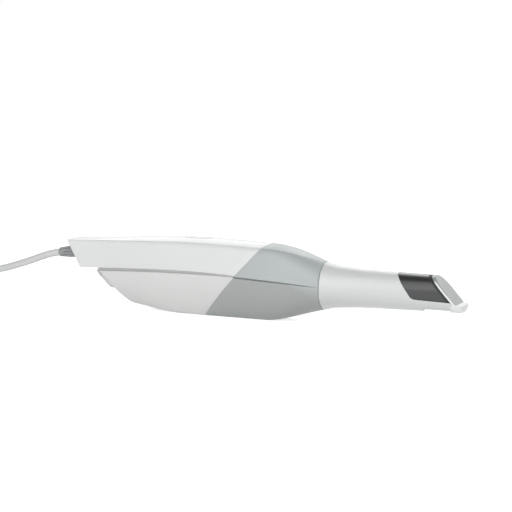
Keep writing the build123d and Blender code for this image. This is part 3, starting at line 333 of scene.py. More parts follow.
def lower_half(x, inset, drop):
    """Lower half section at the rows x, flat where the keel line runs below the floor."""
    def sizes(x):
        edge = along(x, EDGE) - along(x, STEP)
        keel = along(x, KEEL) + inset
        base = (edge - inset, along(x, SEAM) - drop)
        return base, (edge * along(x, LOWER_TUCK) - inset, keel), keel, along(x, LOWER_ROUND), along(x, LOWER_LIP)

    y, z = half_arc(x, sizes, -1)
    return y, np.maximum(z, inset)


def with_floor(y, z, ledge):
    """Half section put after a floor that runs from the middle to its edge, less a ledge."""
    floor = np.array(FLOOR_SHARES) * (y[:, :1] - ledge)
    return np.concatenate([floor, y], 1), np.concatenate([z[:, :1] + 0 * floor, z], 1)


def past_floor(x):
    """x of the columns that come after the floor, given one column or all."""
    floor = len(FLOOR_SHARES)
    return np.broadcast_to(x, (len(x), floor + ARC))[:, floor:]


def upper_loop(x, inset):
    """Right half of the closed upper section: floor from the middle outwards, then the upper half."""
    x = past_floor(x)
    y, z = upper_half(x, inset, -SEAM_GAP / 2 - inset)
    return with_floor(y, z, along(x[:, :1], STEP) + WALL - inset)


def lower_loop(x, inset):
    """Half of the closed lower section: lid from the middle outwards, then the lower half, on the left side."""
    y, z = with_floor(*lower_half(past_floor(x), inset, SEAM_GAP / 2 + inset), WALL - inset)
    return -y, z


def sleeve_loop(x, inset):
    """Right half of the sleeve's section: lower half from the keel up, a small ledge, then the upper half."""
    x = np.broadcast_to(x, (len(x), 2 * ARC))
    low_y, low_z = lower_half(x[:, ARC - 1 :: -1], inset, SLEEVE_DROP)
    y, z = upper_half(x[:, ARC:], inset, SLEEVE_DROP, ledge=inset / WALL)
    return np.concatenate([low_y[:, ::-1], y], 1), np.concatenate([low_z[:, ::-1], z], 1)


def swept_loop(loop, start, end, rows, inset=0.0):
    """Grid of a closed section carried from one leaning plane to another. Each row is (share, offset, taken in): x is
    start(z) + share * (end(z) - start(z)) + offset, found by repeated substitution since z follows x, and the row is
    then drawn in along its section's own normals. The left half mirrors the right, so the columns close."""
    share, offset, taken = (column(v) for v in zip(*rows))
    x = share * end(MIDDLE_HEIGHT) + (1 - share) * start(MIDDLE_HEIGHT) + offset
    for _ in range(SWEEP_TRIES):
        y, z = loop(x, inset)
        x = share * end(z) + (1 - share) * start(z) + offset
    y, z = (np.concatenate([v, m * v[:, -2:0:-1]], 1) for v, m in ((y, -1), (z, 1)))
    ahead = [np.roll(v, -1, 1) - np.roll(v, 1, 1) for v in (y, z)]
    long = np.maximum(np.hypot(*ahead), 1e-9)
    y = y - taken * ahead[1] / long
    z = z + taken * ahead[0] / long
    x = share * end(z) + (1 - share) * start(z) + offset
    return np.stack([x, y, z], -1)


def rounded_rows(radius, steps):
    """Rows of a rounded rim of that radius against a plane, as (distance, taken in) pairs from the plane inwards."""
    turn = np.linspace(math.pi / 2, 0, steps)
    return list(zip(radius * (1 - np.sin(turn)), radius * (1 - np.cos(turn))))


def shell_rows(count, first_round, last_round, first_depth=0.0):
    """Rows of a shell between two planes: a rounded rim, evenly shared rows, and a rounded rim."""
    rows = [(0.0, first_depth + d, i) for d, i in rounded_rows(first_round, RIM_ROWS[0])]
    inner = first_depth + first_round
    rows += [(s, inner * (1 - s) - last_round * s, 0.0) for s in np.linspace(0, 1, count)[1:-1]]
    return rows + [(1.0, -d, i) for d, i in rounded_rows(last_round, RIM_ROWS[1])[::-1]]


def walls(loop, start, end, *sizes, depth=0.0):
    """Outer and inner grid of a shell between two planes, the inner one from that depth on."""
    outer = swept_loop(loop, start, end, shell_rows(*sizes))
    return outer, swept_loop(loop, start, end, shell_rows(*sizes, first_depth=depth), WALL)


def fan(grid, target, shares):
    """Rows that run from target points to a grid's first row, put before it."""
    rim = grid[:1]
    rows = target[None] + (rim - target[None]) * np.asarray(shares, float)[:, None, None]
    return np.concatenate([rows, grid])


def lattice(rows, cols, first=0):
    """Quads of a grid whose columns close, numbered row by row from first, as an array by row and column."""
    r, c = np.arange(rows - 1)[:, None], np.arange(cols)[None, :]
    a, b = first + r * cols + c, first + r * cols + (c + 1) % cols
    return np.stack([a, b, b + cols, a + cols], -1)


def double_wall(outer, inner, open_row=None):
    """Closed shell from an outer and an inner grid of one size, joined at both ends. From open_row on, the columns
    next to the first one are left out of both walls, and the opening's edges are closed."""
    rows, cols = outer.shape[:2]
    number = np.arange(2 * rows * cols).reshape(2, rows, cols)
    o, i = number
    skin, lining = lattice(rows, cols), lattice(rows, cols, rows * cols)[..., ::-1]
    keep = np.ones((rows - 1, cols), bool)
    ahead = np.roll(np.arange(cols), -1)
    last = np.ones(cols, bool)
    bridges = [np.stack([o[0, ahead], o[0], i[0], i[0, ahead]], -1)]
    if open_row is not None:
        left, right = cols - OPEN_COLUMNS, OPEN_COLUMNS
        span, after = slice(open_row, rows - 1), slice(open_row + 1, rows)
        gone = np.r_[0:right, left:cols]
        keep[open_row:, gone] = False
        last[gone] = False
        bridges.append(np.stack([o[span, right], o[after, right], i[after, right], i[span, right]], -1))
        bridges.append(np.stack([o[after, left], o[span, left], i[span, left], i[after, left]], -1))
        edge = [o[open_row, gone], o[open_row, ahead[gone]], i[open_row, ahead[gone]], i[open_row, gone]]
        bridges.append(np.stack(edge, -1))
    end = [o[-1, last], o[-1, ahead[last]], i[-1, ahead[last]], i[-1, last]]
    bridges.append(np.stack(end, -1))
    points = np.concatenate([outer.reshape(-1, 3), inner.reshape(-1, 3)])
    return points, np.concatenate([skin[keep], lining[keep], *bridges])


def tube(grid):
    """Points and quads of one closed-column grid."""
    rows, cols = grid.shape[:2]
    return grid.reshape(-1, 3), lattice(rows, cols).reshape(-1, 4)


def ring_grid(rings, outline):
    """Grid from (taken in, height) rings of an outline function that gives closed (u, v) points for an inset."""
    return np.stack([np.insert(outline(inset), 2, height, axis=1) for inset, height in rings])


def rounded_rectangle(half_u, half_v, corner, inset):
    """Counter-clockwise outline of a rounded rectangle taken in by inset: each corner's quarter circle in turn."""
    steps = 12
    turn = np.concatenate([np.linspace(0, math.pi / 2, steps) + k * math.pi / 2 for k in range(4)])
    side_u, side_v = (np.repeat(np.array(s), steps) for s in ((1, -1, -1, 1), (1, 1, -1, -1)))
    radius = max(corner - inset, 0.0)
    flat_u, flat_v = half_u - inset - radius, half_v - inset - radius
    return np.c_[side_u * flat_u + radius * np.cos(turn), side_v * flat_v + radius * np.sin(turn)]


def in_frame(grid, origin, axes):
    """Grid of local (u, v, w) points put on an origin along three axes."""
    return np.asarray(origin) + grid @ np.array(axes, float)


def turned(radius, reach, turn, origin, axes):
    """Points and quads of a form turned about the last axis, with the radius and reach of each row, or of each row and
    angle."""
    grid = np.stack([radius * np.cos(turn), radius * np.sin(turn), reach + 0 * turn], -1)
    return tube(in_frame(grid, origin, axes))


# Pieces

def solid(name, points, quads):
    """New mesh object from points in millimetres, with doubles merged."""
    mesh = bpy.data.meshes.new(name)
    mesh.from_pydata(np.asarray(points, float) * MM, [], np.asarray(quads).tolist())
    work = bmesh.new()
    work.from_mesh(mesh)
    bmesh.ops.remove_doubles(work, verts=work.verts, dist=2e-7)
    bmesh.ops.dissolve_degenerate(work, edges=work.edges, dist=1e-8)
    work.to_mesh(mesh)
    work.free()
    mesh.validate()
    thing = bpy.data.objects.new(name, mesh)
    bpy.context.scene.collection.objects.link(thing)
    return thing


def piece(name, form, body, node, material, slot, sharp=40.0):
    """New piece from a form's points and quads: smooth with sharp edges kept, riding on a body in the place of a
    solid."""
    thing = solid(name, *form)
    smooth(thing.data, sharp)
    return settle(thing, body, node, material=material, slot=slot)


def corners(mesh):
    """Vertex places of a mesh, in metres."""
    place = np.empty(3 * len(mesh.vertices))
    mesh.vertices.foreach_get("co", place)
    return place.reshape(-1, 3)


def mark(thing, name, values):
    """Number from 0 to 1 at each vertex, for the finish to read."""
    layer = thing.data.attributes.new(name, "FLOAT", "POINT")
    layer.data.foreach_set("value", np.clip(values, 0, 1).astype(np.float32))


def mark_seam_shade(thing, drop):
    """Marks the rebate under the seam for painted shade: 1 on its wall, falling to 0 across its ledge."""
    x, _, z = corners(thing.data).T / MM
    lip, top = along(x, LOWER_LIP), along(x, SEAM) - drop
    foot, fall, slack = 0.95, 0.3, 0.05
    mark(thing, "gap", (z - top + foot * lip) / (fall * lip) * (z < top + slack))


def smooth(mesh, sharp):
    """Smooth faces with edges over that many degrees kept sharp."""
    mesh.polygons.foreach_set("use_smooth", np.ones(len(mesh.polygons), bool))
    mesh.set_sharp_from_angle(angle=math.radians(sharp))
    mesh.update()


def settle(thing, body, *nodes, material, slot):
    """Finish, body and replaced solids of a piece; slot is not used."""
    thing.data.materials.append(material)
    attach(thing, body)
    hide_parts(*nodes)
    return thing


def dress(material, *nodes):
    """Solids that keep their shape: their loose triangles are welded and smoothed by modifiers, and they get a
    finish."""
    for node in nodes:
        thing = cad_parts[node]
        mesh = thing.data
        mesh.materials.clear()
        mesh.materials.append(material)
        mesh.polygons.foreach_set("use_smooth", np.ones(len(mesh.polygons), bool))
        weld = thing.modifiers.new("Weld", "WELD")
        weld.merge_threshold = 1e-6
        split = thing.modifiers.new("Creases", "EDGE_SPLIT")
        split.split_angle = math.radians(SOLID_SHARP)
        split.use_edge_sharp = False


def cut(thing, cutter):
    """Takes a cutter's solid out of a piece and keeps the result as the piece's mesh."""
    change = thing.modifiers.new("Cut", "BOOLEAN")
    change.operation = "DIFFERENCE"
    change.solver = "EXACT"
    change.object = cutter
    bpy.context.view_layer.update()
    seen = bpy.context.evaluated_depsgraph_get()
    mesh = bpy.data.meshes.new_from_object(thing.evaluated_get(seen), depsgraph=seen)
    if len(mesh.polygons) <= len(thing.data.polygons) // 2:
        raise RuntimeError(f"{thing.name}: the cut took away most of it")
    thing.modifiers.remove(change)
    old, thing.data = thing.data, mesh
    mesh.name = thing.name
    bpy.data.meshes.remove(old)
    bpy.data.objects.remove(cutter)


def button_oval(inset):
    """Outline of the button's oval, taken in by inset."""
    turn = np.linspace(-math.pi / 2, math.pi / 2, 24)
    radius = BUTTON_RADIUS - inset
    right = np.c_[BUTTON_REACH + radius * np.cos(turn), radius * np.sin(turn)]
    return np.concatenate([right, -right])


def cover_height(x, y):
    """Height of the upper cover's crown at (x, y): the crown is y = w^2 yt + 2 w (1 - w) yh, z = crest - w^2 drop,
    so w follows from y by the quadratic formula."""
    crest, round_ = along(x, CREST), along(x, UPPER_ROUND)
    shoulder, fall = along(x, SHOULDER), along(x, CROWN)
    handle = shoulder * handle_share(round_)
    top = shoulder + (handle - shoulder) * round_
    bend = top - 2 * handle
    w = (np.sqrt(handle**2 + bend * np.abs(y)) - handle) / bend
    return crest - w**2 * fall * (1 - round_)


# Finishes

class Value:
    """One output socket of a node tree. Arithmetic with numbers and other values adds Math nodes."""

    def __init__(self, nodes, socket):
        self.nodes, self.socket = nodes, socket

    def math(self, operation, a, b):
        return self.nodes.node("ShaderNodeMath", {"operation": operation}, {0: a, 1: b})

    def __add__(self, other):
        return self.math("ADD", self, other)

    __radd__ = __add__

    def __sub__(self, other):
        return self.math("SUBTRACT", self, other)

    def __rsub__(self, other):
        return self.math("SUBTRACT", other, self)

    def __mul__(self, other):
        return self.math("MULTIPLY", self, other)

    __rmul__ = __mul__

    def most(self, other):
        """The larger of the two."""
        return self.math("MAXIMUM", self, other)

    def ramp(self, low, high):
        """0 below low, 1 above high and smooth between."""
        settings = {"interpolation_type": "SMOOTHSTEP"}
        return self.nodes.node("ShaderNodeMapRange", settings, {0: self, 1: low, 2: high, 3: 0.0, 4: 1.0})


class Nodes:
    """A node tree of a material or of the world."""

    def __init__(self, tree):
        self.tree = tree

    def node(self, kind, settings=None, sockets=None, output=0):
        """Any node: its settings first, then the values or links of its sockets; gives one output."""
        made = self.tree.nodes.new(kind)
        for key, value in (settings or {}).items():
            setattr(made, key, value)
        for key, value in (sockets or {}).items():
            if isinstance(value, Value):
                self.tree.links.new(value.socket, made.inputs[key])
            else:
                made.inputs[key].default_value = value
        return Value(self, made.outputs[output])

    def seen(self):
        """1 for rays of the camera, of gloss and of glass."""
        rays = ("Is Camera Ray", "Is Glossy Ray", "Is Transmission Ray")
        camera, gloss, through = (self.node("ShaderNodeLightPath", output=ray) for ray in rays)
        return camera.most(gloss).most(through)


class Finish(Nodes):
    """A material and its node tree. Constants go straight on the shader's sockets."""

    def __init__(self, name, colour, roughness, **constants):
        self.material = bpy.data.materials.new(name)
        self.material.use_nodes = True
        super().__init__(self.material.node_tree)
        self.shader = self.tree.nodes["Principled BSDF"]
        self.material.diffuse_color = (*colour, 1.0)
        constants.update(base_color=(*colour, 1.0), roughness=roughness)
        for socket, value in constants.items():
            self.shader.inputs[socket.replace("_", " ").title().replace("Ior", "IOR")].default_value = value

    def feed(self, socket, value):
        self.tree.links.new(value.socket, self.shader.inputs[socket])
        return self

    def place(self):
        """Object coordinates."""
        return self.node("ShaderNodeTexCoord", output=3)

    def axis(self, which):
        """One of the object's X, Y, Z coordinates, in metres."""
        return self.node("ShaderNodeSeparateXYZ", None, {0: self.place()}, "XYZ".index(which))

    def attribute(self, name):
        """Number that the mesh carries at its vertices."""
        return self.node("ShaderNodeAttribute", {"attribute_name": name}, None, 2)

    def along_mirror(self, vector):
        """Share of a vector that lies along the mirror's normal."""
        return self.node("ShaderNodeVectorMath", {"operation": "DOT_PRODUCT"}, {0: vector, 1: MIRROR_NORMAL}, 1)

    def noise(self, size, detail, stretch=None):
        """Noise with features of about that size in metres, drawn out along the axes by stretch."""
        where = self.place()
        if stretch:
            where = self.node("ShaderNodeMapping", None, {"Vector": where, "Scale": stretch})
        return self.node("ShaderNodeTexNoise", None, {"Vector": where, "Scale": 1 / size, "Detail": detail})

    def cells(self, scale, randomness, **settings):
        """Square cells; gives the distance from a cell's middle, or from its edge where the settings say so."""
        sockets = {"Vector": self.place(), "Scale": scale, "Randomness": randomness}
        return self.node("ShaderNodeTexVoronoi", {"distance": "CHEBYCHEV", **settings}, sockets)

    def colours(self, factor, a, b):
        """Mix of two colours."""
        a, b = (c if isinstance(c, Value) else (*c, 1.0) for c in (a, b))
        return self.node("ShaderNodeMix", {"data_type": "RGBA"}, {0: factor, 6: a, 7: b}, 2)

    def bump(self, height, depth, strength):
        """Surface relief of that depth in metres."""
        sockets = {"Height": height, "Distance": depth, "Strength": strength}
        return self.feed("Normal", self.node("ShaderNodeBump", None, sockets))


def shade(colour, share):
    return tuple(min(1.0, c * share) for c in colour)


def moulded(
    name, colour, roughness, grain=0.00035, depth=0.000012, coat=0.0, handled=None, second=None, bright=None
):
    """Moulded plastic: spark-eroded grain and faint flow clouds in the colour. Fingers polish it in the handled range
    of x, and past the bright one it is painted whiter, as painted light.
    A second colour goes where the mesh's own "lower" attribute says, as painted shade, and a darker copy of it goes
    where its "gap" attribute says, as painted shade in the seam's rebate."""
    made = Finish(name, colour, roughness, coat_weight=coat, coat_roughness=0.12)
    grains = made.noise(grain, 3.0)
    flow = made.noise(0.03, 2.0, (0.4, 1.0, 1.0))
    specks = made.noise(0.0011, 1.0).ramp(0.74, 0.8)
    tint, *under = (made.colours(flow, shade(c, 0.972), shade(c, 1.012)) for c in (colour, second) if c)
    if second:
        # Painted shade: the second colour goes where the "lower" attribute says
        tint = made.colours(made.attribute("lower"), tint, *under)
        # Painted shade in the seam's rebate, where the "gap" attribute says
        tint = made.colours(made.attribute("gap"), tint, shade(second, 0.87))
    if bright:
        # Painted light: the lip past the bright range is painted whiter
        tint = made.colours(made.axis("X").ramp(*bright), tint, shade(colour, 1.28))
    made.feed("Base Color", made.colours(specks * 0.05, tint, shade(colour, 0.8)))
    rough = roughness + (grains - 0.5) * 0.1 + (flow - 0.5) * 0.08
    if handled:
        low, high = handled
        side = made.axis("X").ramp(low, low + 0.03) * (1 - made.axis("X").ramp(high - 0.02, high))
        rubbed = made.noise(0.012, 3.0).ramp(0.4, 0.7)
        rough = rough - side * rubbed * 0.1
    made.feed("Roughness", rough)
    return made.bump(grains, depth, 0.6).material


def glossy_cover(name, colour, foot, face):
    """Polished dark plastic with faint wiping marks under a clear coat, dull along the mirror, on a foot in the
    sleeve's white. The dark part ends at the leaning rear edge and at the foot, with a round corner between them.
    face is how far the mirror's back lies along its normal, in metres."""
    made = Finish(name, colour, 0.2, coat_weight=0.5, coat_roughness=0.28, ior=1.5)
    wipes = made.noise(0.004, 4.0, (0.25, 1.0, 1.0))
    dust = made.noise(0.0006, 1.0).ramp(0.72, 0.8)
    x, z = made.axis("X") * (1 / MM), made.axis("Z") * (1 / MM)
    inward = (x - COVER_TOP[0] + (z - COVER_TOP[1]) * math.tan(COVER_LEAN)) * math.cos(COVER_LEAN)
    above = z - FOOT_END[1] + (x - FOOT_END[0]) * FOOT_SLOPE
    short = [(FOOT_ROUND - side).most(0.0) for side in (inward, above)]
    white = (short[0] * short[0] + short[1] * short[1]).ramp(FOOT_ROUND**2 * 0.95, FOOT_ROUND**2 * 1.05)
    dark = made.colours(dust * 0.12, colour, (0.3, 0.3, 0.3))
    made.feed("Base Color", made.colours(white, dark, foot))
    dull = 1 - (face - made.along_mirror(made.place())).ramp(0.0030, 0.0036)
    made.feed("Coat Weight", (0.5 - white * 0.35) * (1 - dull))
    made.feed("Roughness", 0.32 + wipes * 0.1 + dust * 0.1 + dull * 0.3)
    return made.bump(wipes, 0.000004, 0.3).material


def mirror_glass(name, colour, face):
    """Coated plate: satin grey on its back, bare mirror on the side that faces the light path, painted shade along its
    edges, and a painted highlight on the edge next to the cover that widens downwards and fades out at the top.
    face is how far the back lies along its own normal, in metres."""
    made = Finish(name, colour, 0.3)
    outward = made.along_mirror(made.node("ShaderNodeTexCoord", output=1))
    depth = face - made.along_mirror(made.place())
    mirror = 1 - outward.ramp(-0.6, -0.4)
    side = 1 - (outward * outward).ramp(0.3, 0.5)
    cloud = made.noise(0.006, 3.0)
    back = made.colours(cloud, shade(colour, 0.95), shade(colour, 1.03))
    # Painted shade: the plate's edges are painted darker
    back = made.colours(side * 0.9, back, shade(colour, 0.74))
    z = made.axis("Z")
    # Painted highlight: a bright band on the edge next to the cover, widening downwards and fading out at the top
    painted_highlight = (depth + (0.033 - z) * 0.035).ramp(0.0007, 0.0009) * (1 - z.ramp(0.0315, 0.0335))
    back = made.colours(side * painted_highlight, back, (0.88, 0.89, 0.89))
    made.feed("Base Color", made.colours(mirror, back, (0.9, 0.91, 0.92)))
    made.feed("Metallic", mirror)
    made.feed("Roughness", 0.3 + cloud * 0.08 - mirror * 0.33)
    return made.material


def rubber(name, colour):
    """Soft rubber: matt, finely pitted, slightly dusty."""
    made = Finish(name, colour, 0.62, sheen_weight=0.12, sheen_roughness=0.5)
    pits = made.noise(0.0003, 3.0)
    dust = made.noise(0.004, 3.0)
    made.feed("Base Color", made.colours(dust, shade(colour, 0.86), shade(colour, 1.14)))
    made.feed("Roughness", 0.55 + dust * 0.16)
    return made.bump(pits, 0.00003, 0.7).material


def webbing(name, colour):
    """Woven hook-and-loop band: crossed ribs of thread with a fuzzy sheen."""
    made = Finish(name, colour, 0.85, sheen_weight=0.4, sheen_roughness=0.4)
    weave = {"Vector": made.place(), "Scale": 260.0, "Distortion": 0.6}
    warp, weft = (made.node("ShaderNodeTexWave", {"bands_direction": way}, weave) for way in ("Y", "DIAGONAL"))
    threads = warp * 0.6 + weft * 0.4
    fuzz = made.noise(0.0004, 3.0)
    made.feed("Base Color", made.colours(threads * 0.7 + fuzz * 0.3, shade(colour, 0.55), shade(colour, 1.3)))
    return made.bump(threads + fuzz * 0.5, 0.00015, 0.8).material


def metal(name, colour, roughness, stretch):
    """Machined metal: fine tool lines drawn out along the axes by stretch, with stains in its polish."""
    made = Finish(name, colour, roughness, metallic=1.0)
    lines = made.noise(0.0004, 2.0, stretch)
    stains = made.noise(0.005, 3.0)
    made.feed("Base Color", made.colours(stains, shade(colour, 0.88), shade(colour, 1.06)))
    made.feed("Roughness", roughness + (lines - 0.5) * 0.16 + (stains - 0.5) * 0.12)
    return made.bump(lines, 0.000008, 0.5).material


def glass(name, tint):
    """Optical glass with a coloured coating in its reflection and a trace of dust."""
    made = Finish(name, tint, 0.02, transmission_weight=1.0, ior=1.52, coat_weight=0.3, coat_roughness=0.02)
    dust = made.noise(0.0008, 2.0).ramp(0.7, 0.8)
    film = made.noise(0.012, 1.0)
    made.feed("Base Color", made.colours(film, tint, shade(tint, 0.93)))
    made.feed("Roughness", 0.015 + dust * 0.08)
    return made.material


def circuit(name, colour):
    """Circuit board: solder mask over copper runs, bare gold pads and white component marks."""
    made = Finish(name, colour, 0.35, coat_weight=0.3, coat_roughness=0.15)
    runs = 1 - made.cells(420.0, 0.35, feature="DISTANCE_TO_EDGE").ramp(0.03, 0.09)
    pads = 1 - made.cells(420.0, 0.35).ramp(0.12, 0.16)
    masked = made.colours(runs * 0.6, colour, shade(colour, 1.9))
    made.feed("Base Color", made.colours(pads, masked, (0.75, 0.52, 0.2)))
    made.feed("Metallic", pads)
    made.feed("Roughness", 0.36 - pads * 0.1 + made.noise(0.002, 2.0) * 0.08)
    return made.bump(runs + pads, 0.00004, 0.6).material


def winding(name, colour):
    """Enamelled wire laid side by side round the optical axis."""
    made = Finish(name, colour, 0.28, metallic=1.0, coat_weight=0.4, coat_roughness=0.1)
    turns = made.node("ShaderNodeTexWave", {"bands_direction": "X"}, {"Vector": made.place(), "Scale": 700.0})
    made.feed("Base Color", made.colours(turns, shade(colour, 0.45), colour))
    return made.bump(turns, 0.0001, 0.8).material


def chip(name, colour):
    """Image sensor: a fine cell grid with a slight rainbow under its glass."""
    made = Finish(name, colour, 0.12, coat_weight=0.8, coat_roughness=0.03)
    cells = made.cells(2600.0, 0.0, feature="DISTANCE_TO_EDGE")
    tint = made.colours(made.noise(0.004, 1.0), (0.05, 0.1, 0.12), (0.12, 0.06, 0.1))
    made.feed("Base Color", made.colours(cells.ramp(0.05, 0.2), shade(colour, 0.5), tint))
    return made.material


# Settings

def colour_setting(name, description, default):
    return FloatVectorProperty(
        name=name, description=description, default=default, subtype="COLOR", size=3, min=0.0, max=1.0
    )


def number_setting(name, description, default, **more):
    return FloatProperty(name=name, description=description, default=default, **more)


def length_setting(name, description, default):
    return number_setting(name, description, default, unit="LENGTH", subtype="DISTANCE")


def angle_setting(name, description, degrees):
    return number_setting(name, description, math.radians(degrees), unit="ROTATION")


def power_setting(name, description, default):
    return number_setting(name, description, default, unit="POWER")


class ScannerShellSettings(bpy.types.PropertyGroup):
    """Colours and edges of the handle."""

    upper: colour_setting("Upper cover", "White of the upper cover and the button", (0.835, 0.85, 0.845))
    lower: colour_setting("Lower cover", "White of the lower cover and the rear cap", (0.79, 0.792, 0.785))
    grip: colour_setting("Grip", "Cool grey of the grip sleeve", (0.5, 0.545, 0.54))
    # Painted shade: the sleeve below the seam is painted this darker grey in place of the shade that falls on its
    # underside
    grip_painted_shade: colour_setting("Grip underside", "Darker grey of the grip sleeve below the seam", (0.43, 0.45, 0.445))
    rear_round: length_setting("Rear rim", "Radius of the rear rim", 0.00045)
    split_round: length_setting("Joint rim", "Radius of the rims where white meets grey", 0.00012)
    front_round: length_setting("Front rim", "Radius of the sleeve's front rim", 0.0009)
    stern_round: length_setting("Stern rim", "Radius of the lower cover's stern", 0.003)
    rows: IntProperty(name="Rows", description="Rows of points along each shell", default=72, min=12, max=240)


class ScannerTipSettings(bpy.types.PropertyGroup):
    """Colours of the push-on tip."""

    sleeve: colour_setting("Sleeve", "White of the tip's sleeve", (0.755, 0.77, 0.765))
    cover: colour_setting("Mirror cover", "Near black of the mirror cover", (0.018, 0.019, 0.021))
    back: colour_setting("Mirror back", "Grey of the mirror's back", (0.42, 0.45, 0.45))


class ScannerCableSettings(bpy.types.PropertyGroup):
    """Sizes and colours of the cable and its ends."""

    radius: length_setting("Radius", "Radius of the cable", 0.0025)
    length: length_setting("Length", "Whole length of the cable", 2.2)
    turn_points: IntProperty(name="Bend points", description="Points in each round end of the hank", default=8, min=6)
    sheath: colour_setting("Sheath", "Light grey of the cable", (0.72, 0.725, 0.725))
    gland: colour_setting("Gland", "Mid grey of the strain relief", (0.34, 0.345, 0.35))
    dark: colour_setting("Dark parts", "Near black of the plug's grip and the tie", (0.035, 0.036, 0.04))


class ScannerStageSettings(bpy.types.PropertyGroup):
    """View and light of the studio."""

    azimuth: angle_setting("Azimuth", "View round the scanner", 22)
    elevation: angle_setting("Elevation", "View above level", 6)
    roll: angle_setting("Roll", "Turn of the view about its axis", 1.2)
    distance: length_setting("Distance", "Camera from the scanner's middle", 1.0)
    focal: number_setting("Focal length", "In picture widths", 1520 / PICTURE)
    floor: colour_setting("Floor", "Pale floor", (0.86, 0.86, 0.86))
    floor_radius: length_setting("Floor radius", "Radius of the round floor", 1.0)
    floor_glow: number_setting("Floor glow", "Light of its own that the floor shows to the camera", 0.68)
    ambient: number_setting("Ambient", "Even light from all round, but not from overhead", 0.3)
    overhead: number_setting("Overhead", "Share of the ambient light that is left overhead", 0.15)
    back: power_setting("Back", "Large light behind and above", 16.0)
    front: power_setting("Front", "Large light from the viewer's side", 9.0)
    high: power_setting("High front", "Light from above the viewer", 7.0)


# Operators

class SCANNER_OT_upper_cover(bpy.types.Operator):
    """Builds the white upper cover with its rolled edges, rear wall and button opening"""

    bl_idname = "scanner.upper_cover"
    bl_label = "Upper cover"

    def execute(self, context):
        look = context.scene.scanner_shell
        sizes = (look.rows, look.rear_round / MM, look.split_round / MM)
        depth = WALL / math.cos(REAR_LEAN)
        shells = []
        for grid, inset in zip(walls(upper_loop, rear_plane, split_plane, *sizes, depth=depth), (0.0, depth)):
            centre = np.array((rear_plane(RELIEF_HEIGHT) + inset, 0, RELIEF_HEIGHT))
            away = grid[0] - centre
            hole = centre + away / np.linalg.norm(away, axis=1)[:, None] * GLAND_HOLE
            shells.append(fan(grid, hole, REAR_FAN))
        floor_end = int(np.argmax(shells[0][:, 0, 0] > STERN + 5))
        form = double_wall(*shells, open_row=floor_end)
        finish = moulded("white_moulding", look.upper, 0.36, coat=0.12)
        cover = piece("upper_shell", form, "handle", "upper_cover", finish, "white_cover", SHELL_SHARP)
        low, high, play = 40.0, 60.0, 0.3
        prism = ring_grid([(-play, height) for height in (low, low, high, high)], button_oval)
        prism[[0, -1], :, :2] = 0
        cut(cover, solid("button_hole", *tube(prism + np.array((BUTTON_AT, 0, 0)))))
        smooth(cover.data, SHELL_SHARP)
        return {"FINISHED"}


class SCANNER_OT_lower_cover(bpy.types.Operator):
    """Builds the lower cover with its rounded stern, and the cap on it"""

    bl_idname = "scanner.lower_cover"
    bl_label = "Lower cover and rear cap"

    def execute(self, context):
        look = context.scene.scanner_shell
        sizes = (look.rows, look.stern_round / MM, look.split_round / MM)
        depth = STERN_WALL / math.cos(STERN_LEAN)
        shells = []
        for grid in walls(lower_loop, stern_plane, split_plane, *sizes, depth=depth):
            pole = grid[0].mean(0)
            pole[0] += stern_plane(pole[2]) - stern_plane(grid[0, 0, 2]) - pole[0] + grid[0, 0, 0]
            shells.append(fan(grid, np.repeat(pole[None], grid.shape[1], 0), STERN_FAN))
        wall_end = int(np.argmax(shells[0][:, 0, 0] > stern_plane(MIDDLE_HEIGHT) + depth + 1))
        form = double_wall(*shells, open_row=wall_end)
        # The second colour is the cover's own white; it is given so that the seam's rebate gets its painted shade
        finish = moulded("warm_white_moulding", look.lower, 0.42, second=look.lower)
        lower = piece("lower_shell", form, "handle", "lower_cover", finish, "warm_cover", SHELL_SHARP)
        mark_seam_shade(lower, SEAM_GAP / 2)
        piece("stern_cap", self.cap(), "handle", "rear_cap", finish, "warm_cover")
        return {"FINISHED"}

    def cap(self):
        """Points and quads of the cap: a rounded plate with a shadow gap under its rim."""
        grid = ring_grid(CAP_RINGS, lambda inset: rounded_rectangle(*CAP_HALF, CAP_CORNER, inset))
        ends = np.zeros((2, *grid.shape[1:]))
        ends[..., 2] = column(CAP_ENDS)
        grid = np.concatenate([ends[:1], grid, ends[1:]])
        sine, cosine = math.sin(STERN_LEAN), math.cos(STERN_LEAN)
        up, out = np.array((-sine, 0, cosine)), np.array((-cosine, 0, -sine))
        origin = np.array((STERN_FACE, 0, along(STERN_FACE, SEAM))) - up * (CAP_HALF[1] + CAP_DROP)
        return tube(in_frame(grid, origin, ((0, -1, 0), up, out)))


class SCANNER_OT_grip_sleeve(bpy.types.Operator):
    """Builds the grey grip sleeve from the white covers to the tip joint"""

    bl_idname = "scanner.grip_sleeve"
    bl_label = "Grip sleeve"

    def execute(self, context):
        look = context.scene.scanner_shell
        sizes = (look.rows, look.split_round / MM, look.front_round / MM)
        finish = moulded(
            "grip_grey", look.grip, 0.44, grain=0.0003, depth=0.00002, handled=(-0.03, 0.046),
            second=look.grip_painted_shade,
        )
        form = double_wall(*walls(sleeve_loop, split_plane, joint_plane, *sizes))
        grip = piece("grip_shell", form, "handle", "grip_sleeve", finish, "grey_grip", SHELL_SHARP)
        mark_seam_shade(grip, SLEEVE_DROP)
        x, _, z = corners(grip.data).T / MM
        least = 0.02
        # Painted shade: the "lower" attribute puts the darker grey on the underside below the seam, fading in towards
        # the joint
        mark(grip, "lower", (along(x, SEAM) - SLEEVE_DROP + 0.05 - z) / (least + along(x, SLEEVE_SHADE_FADE)))
        return {"FINISHED"}


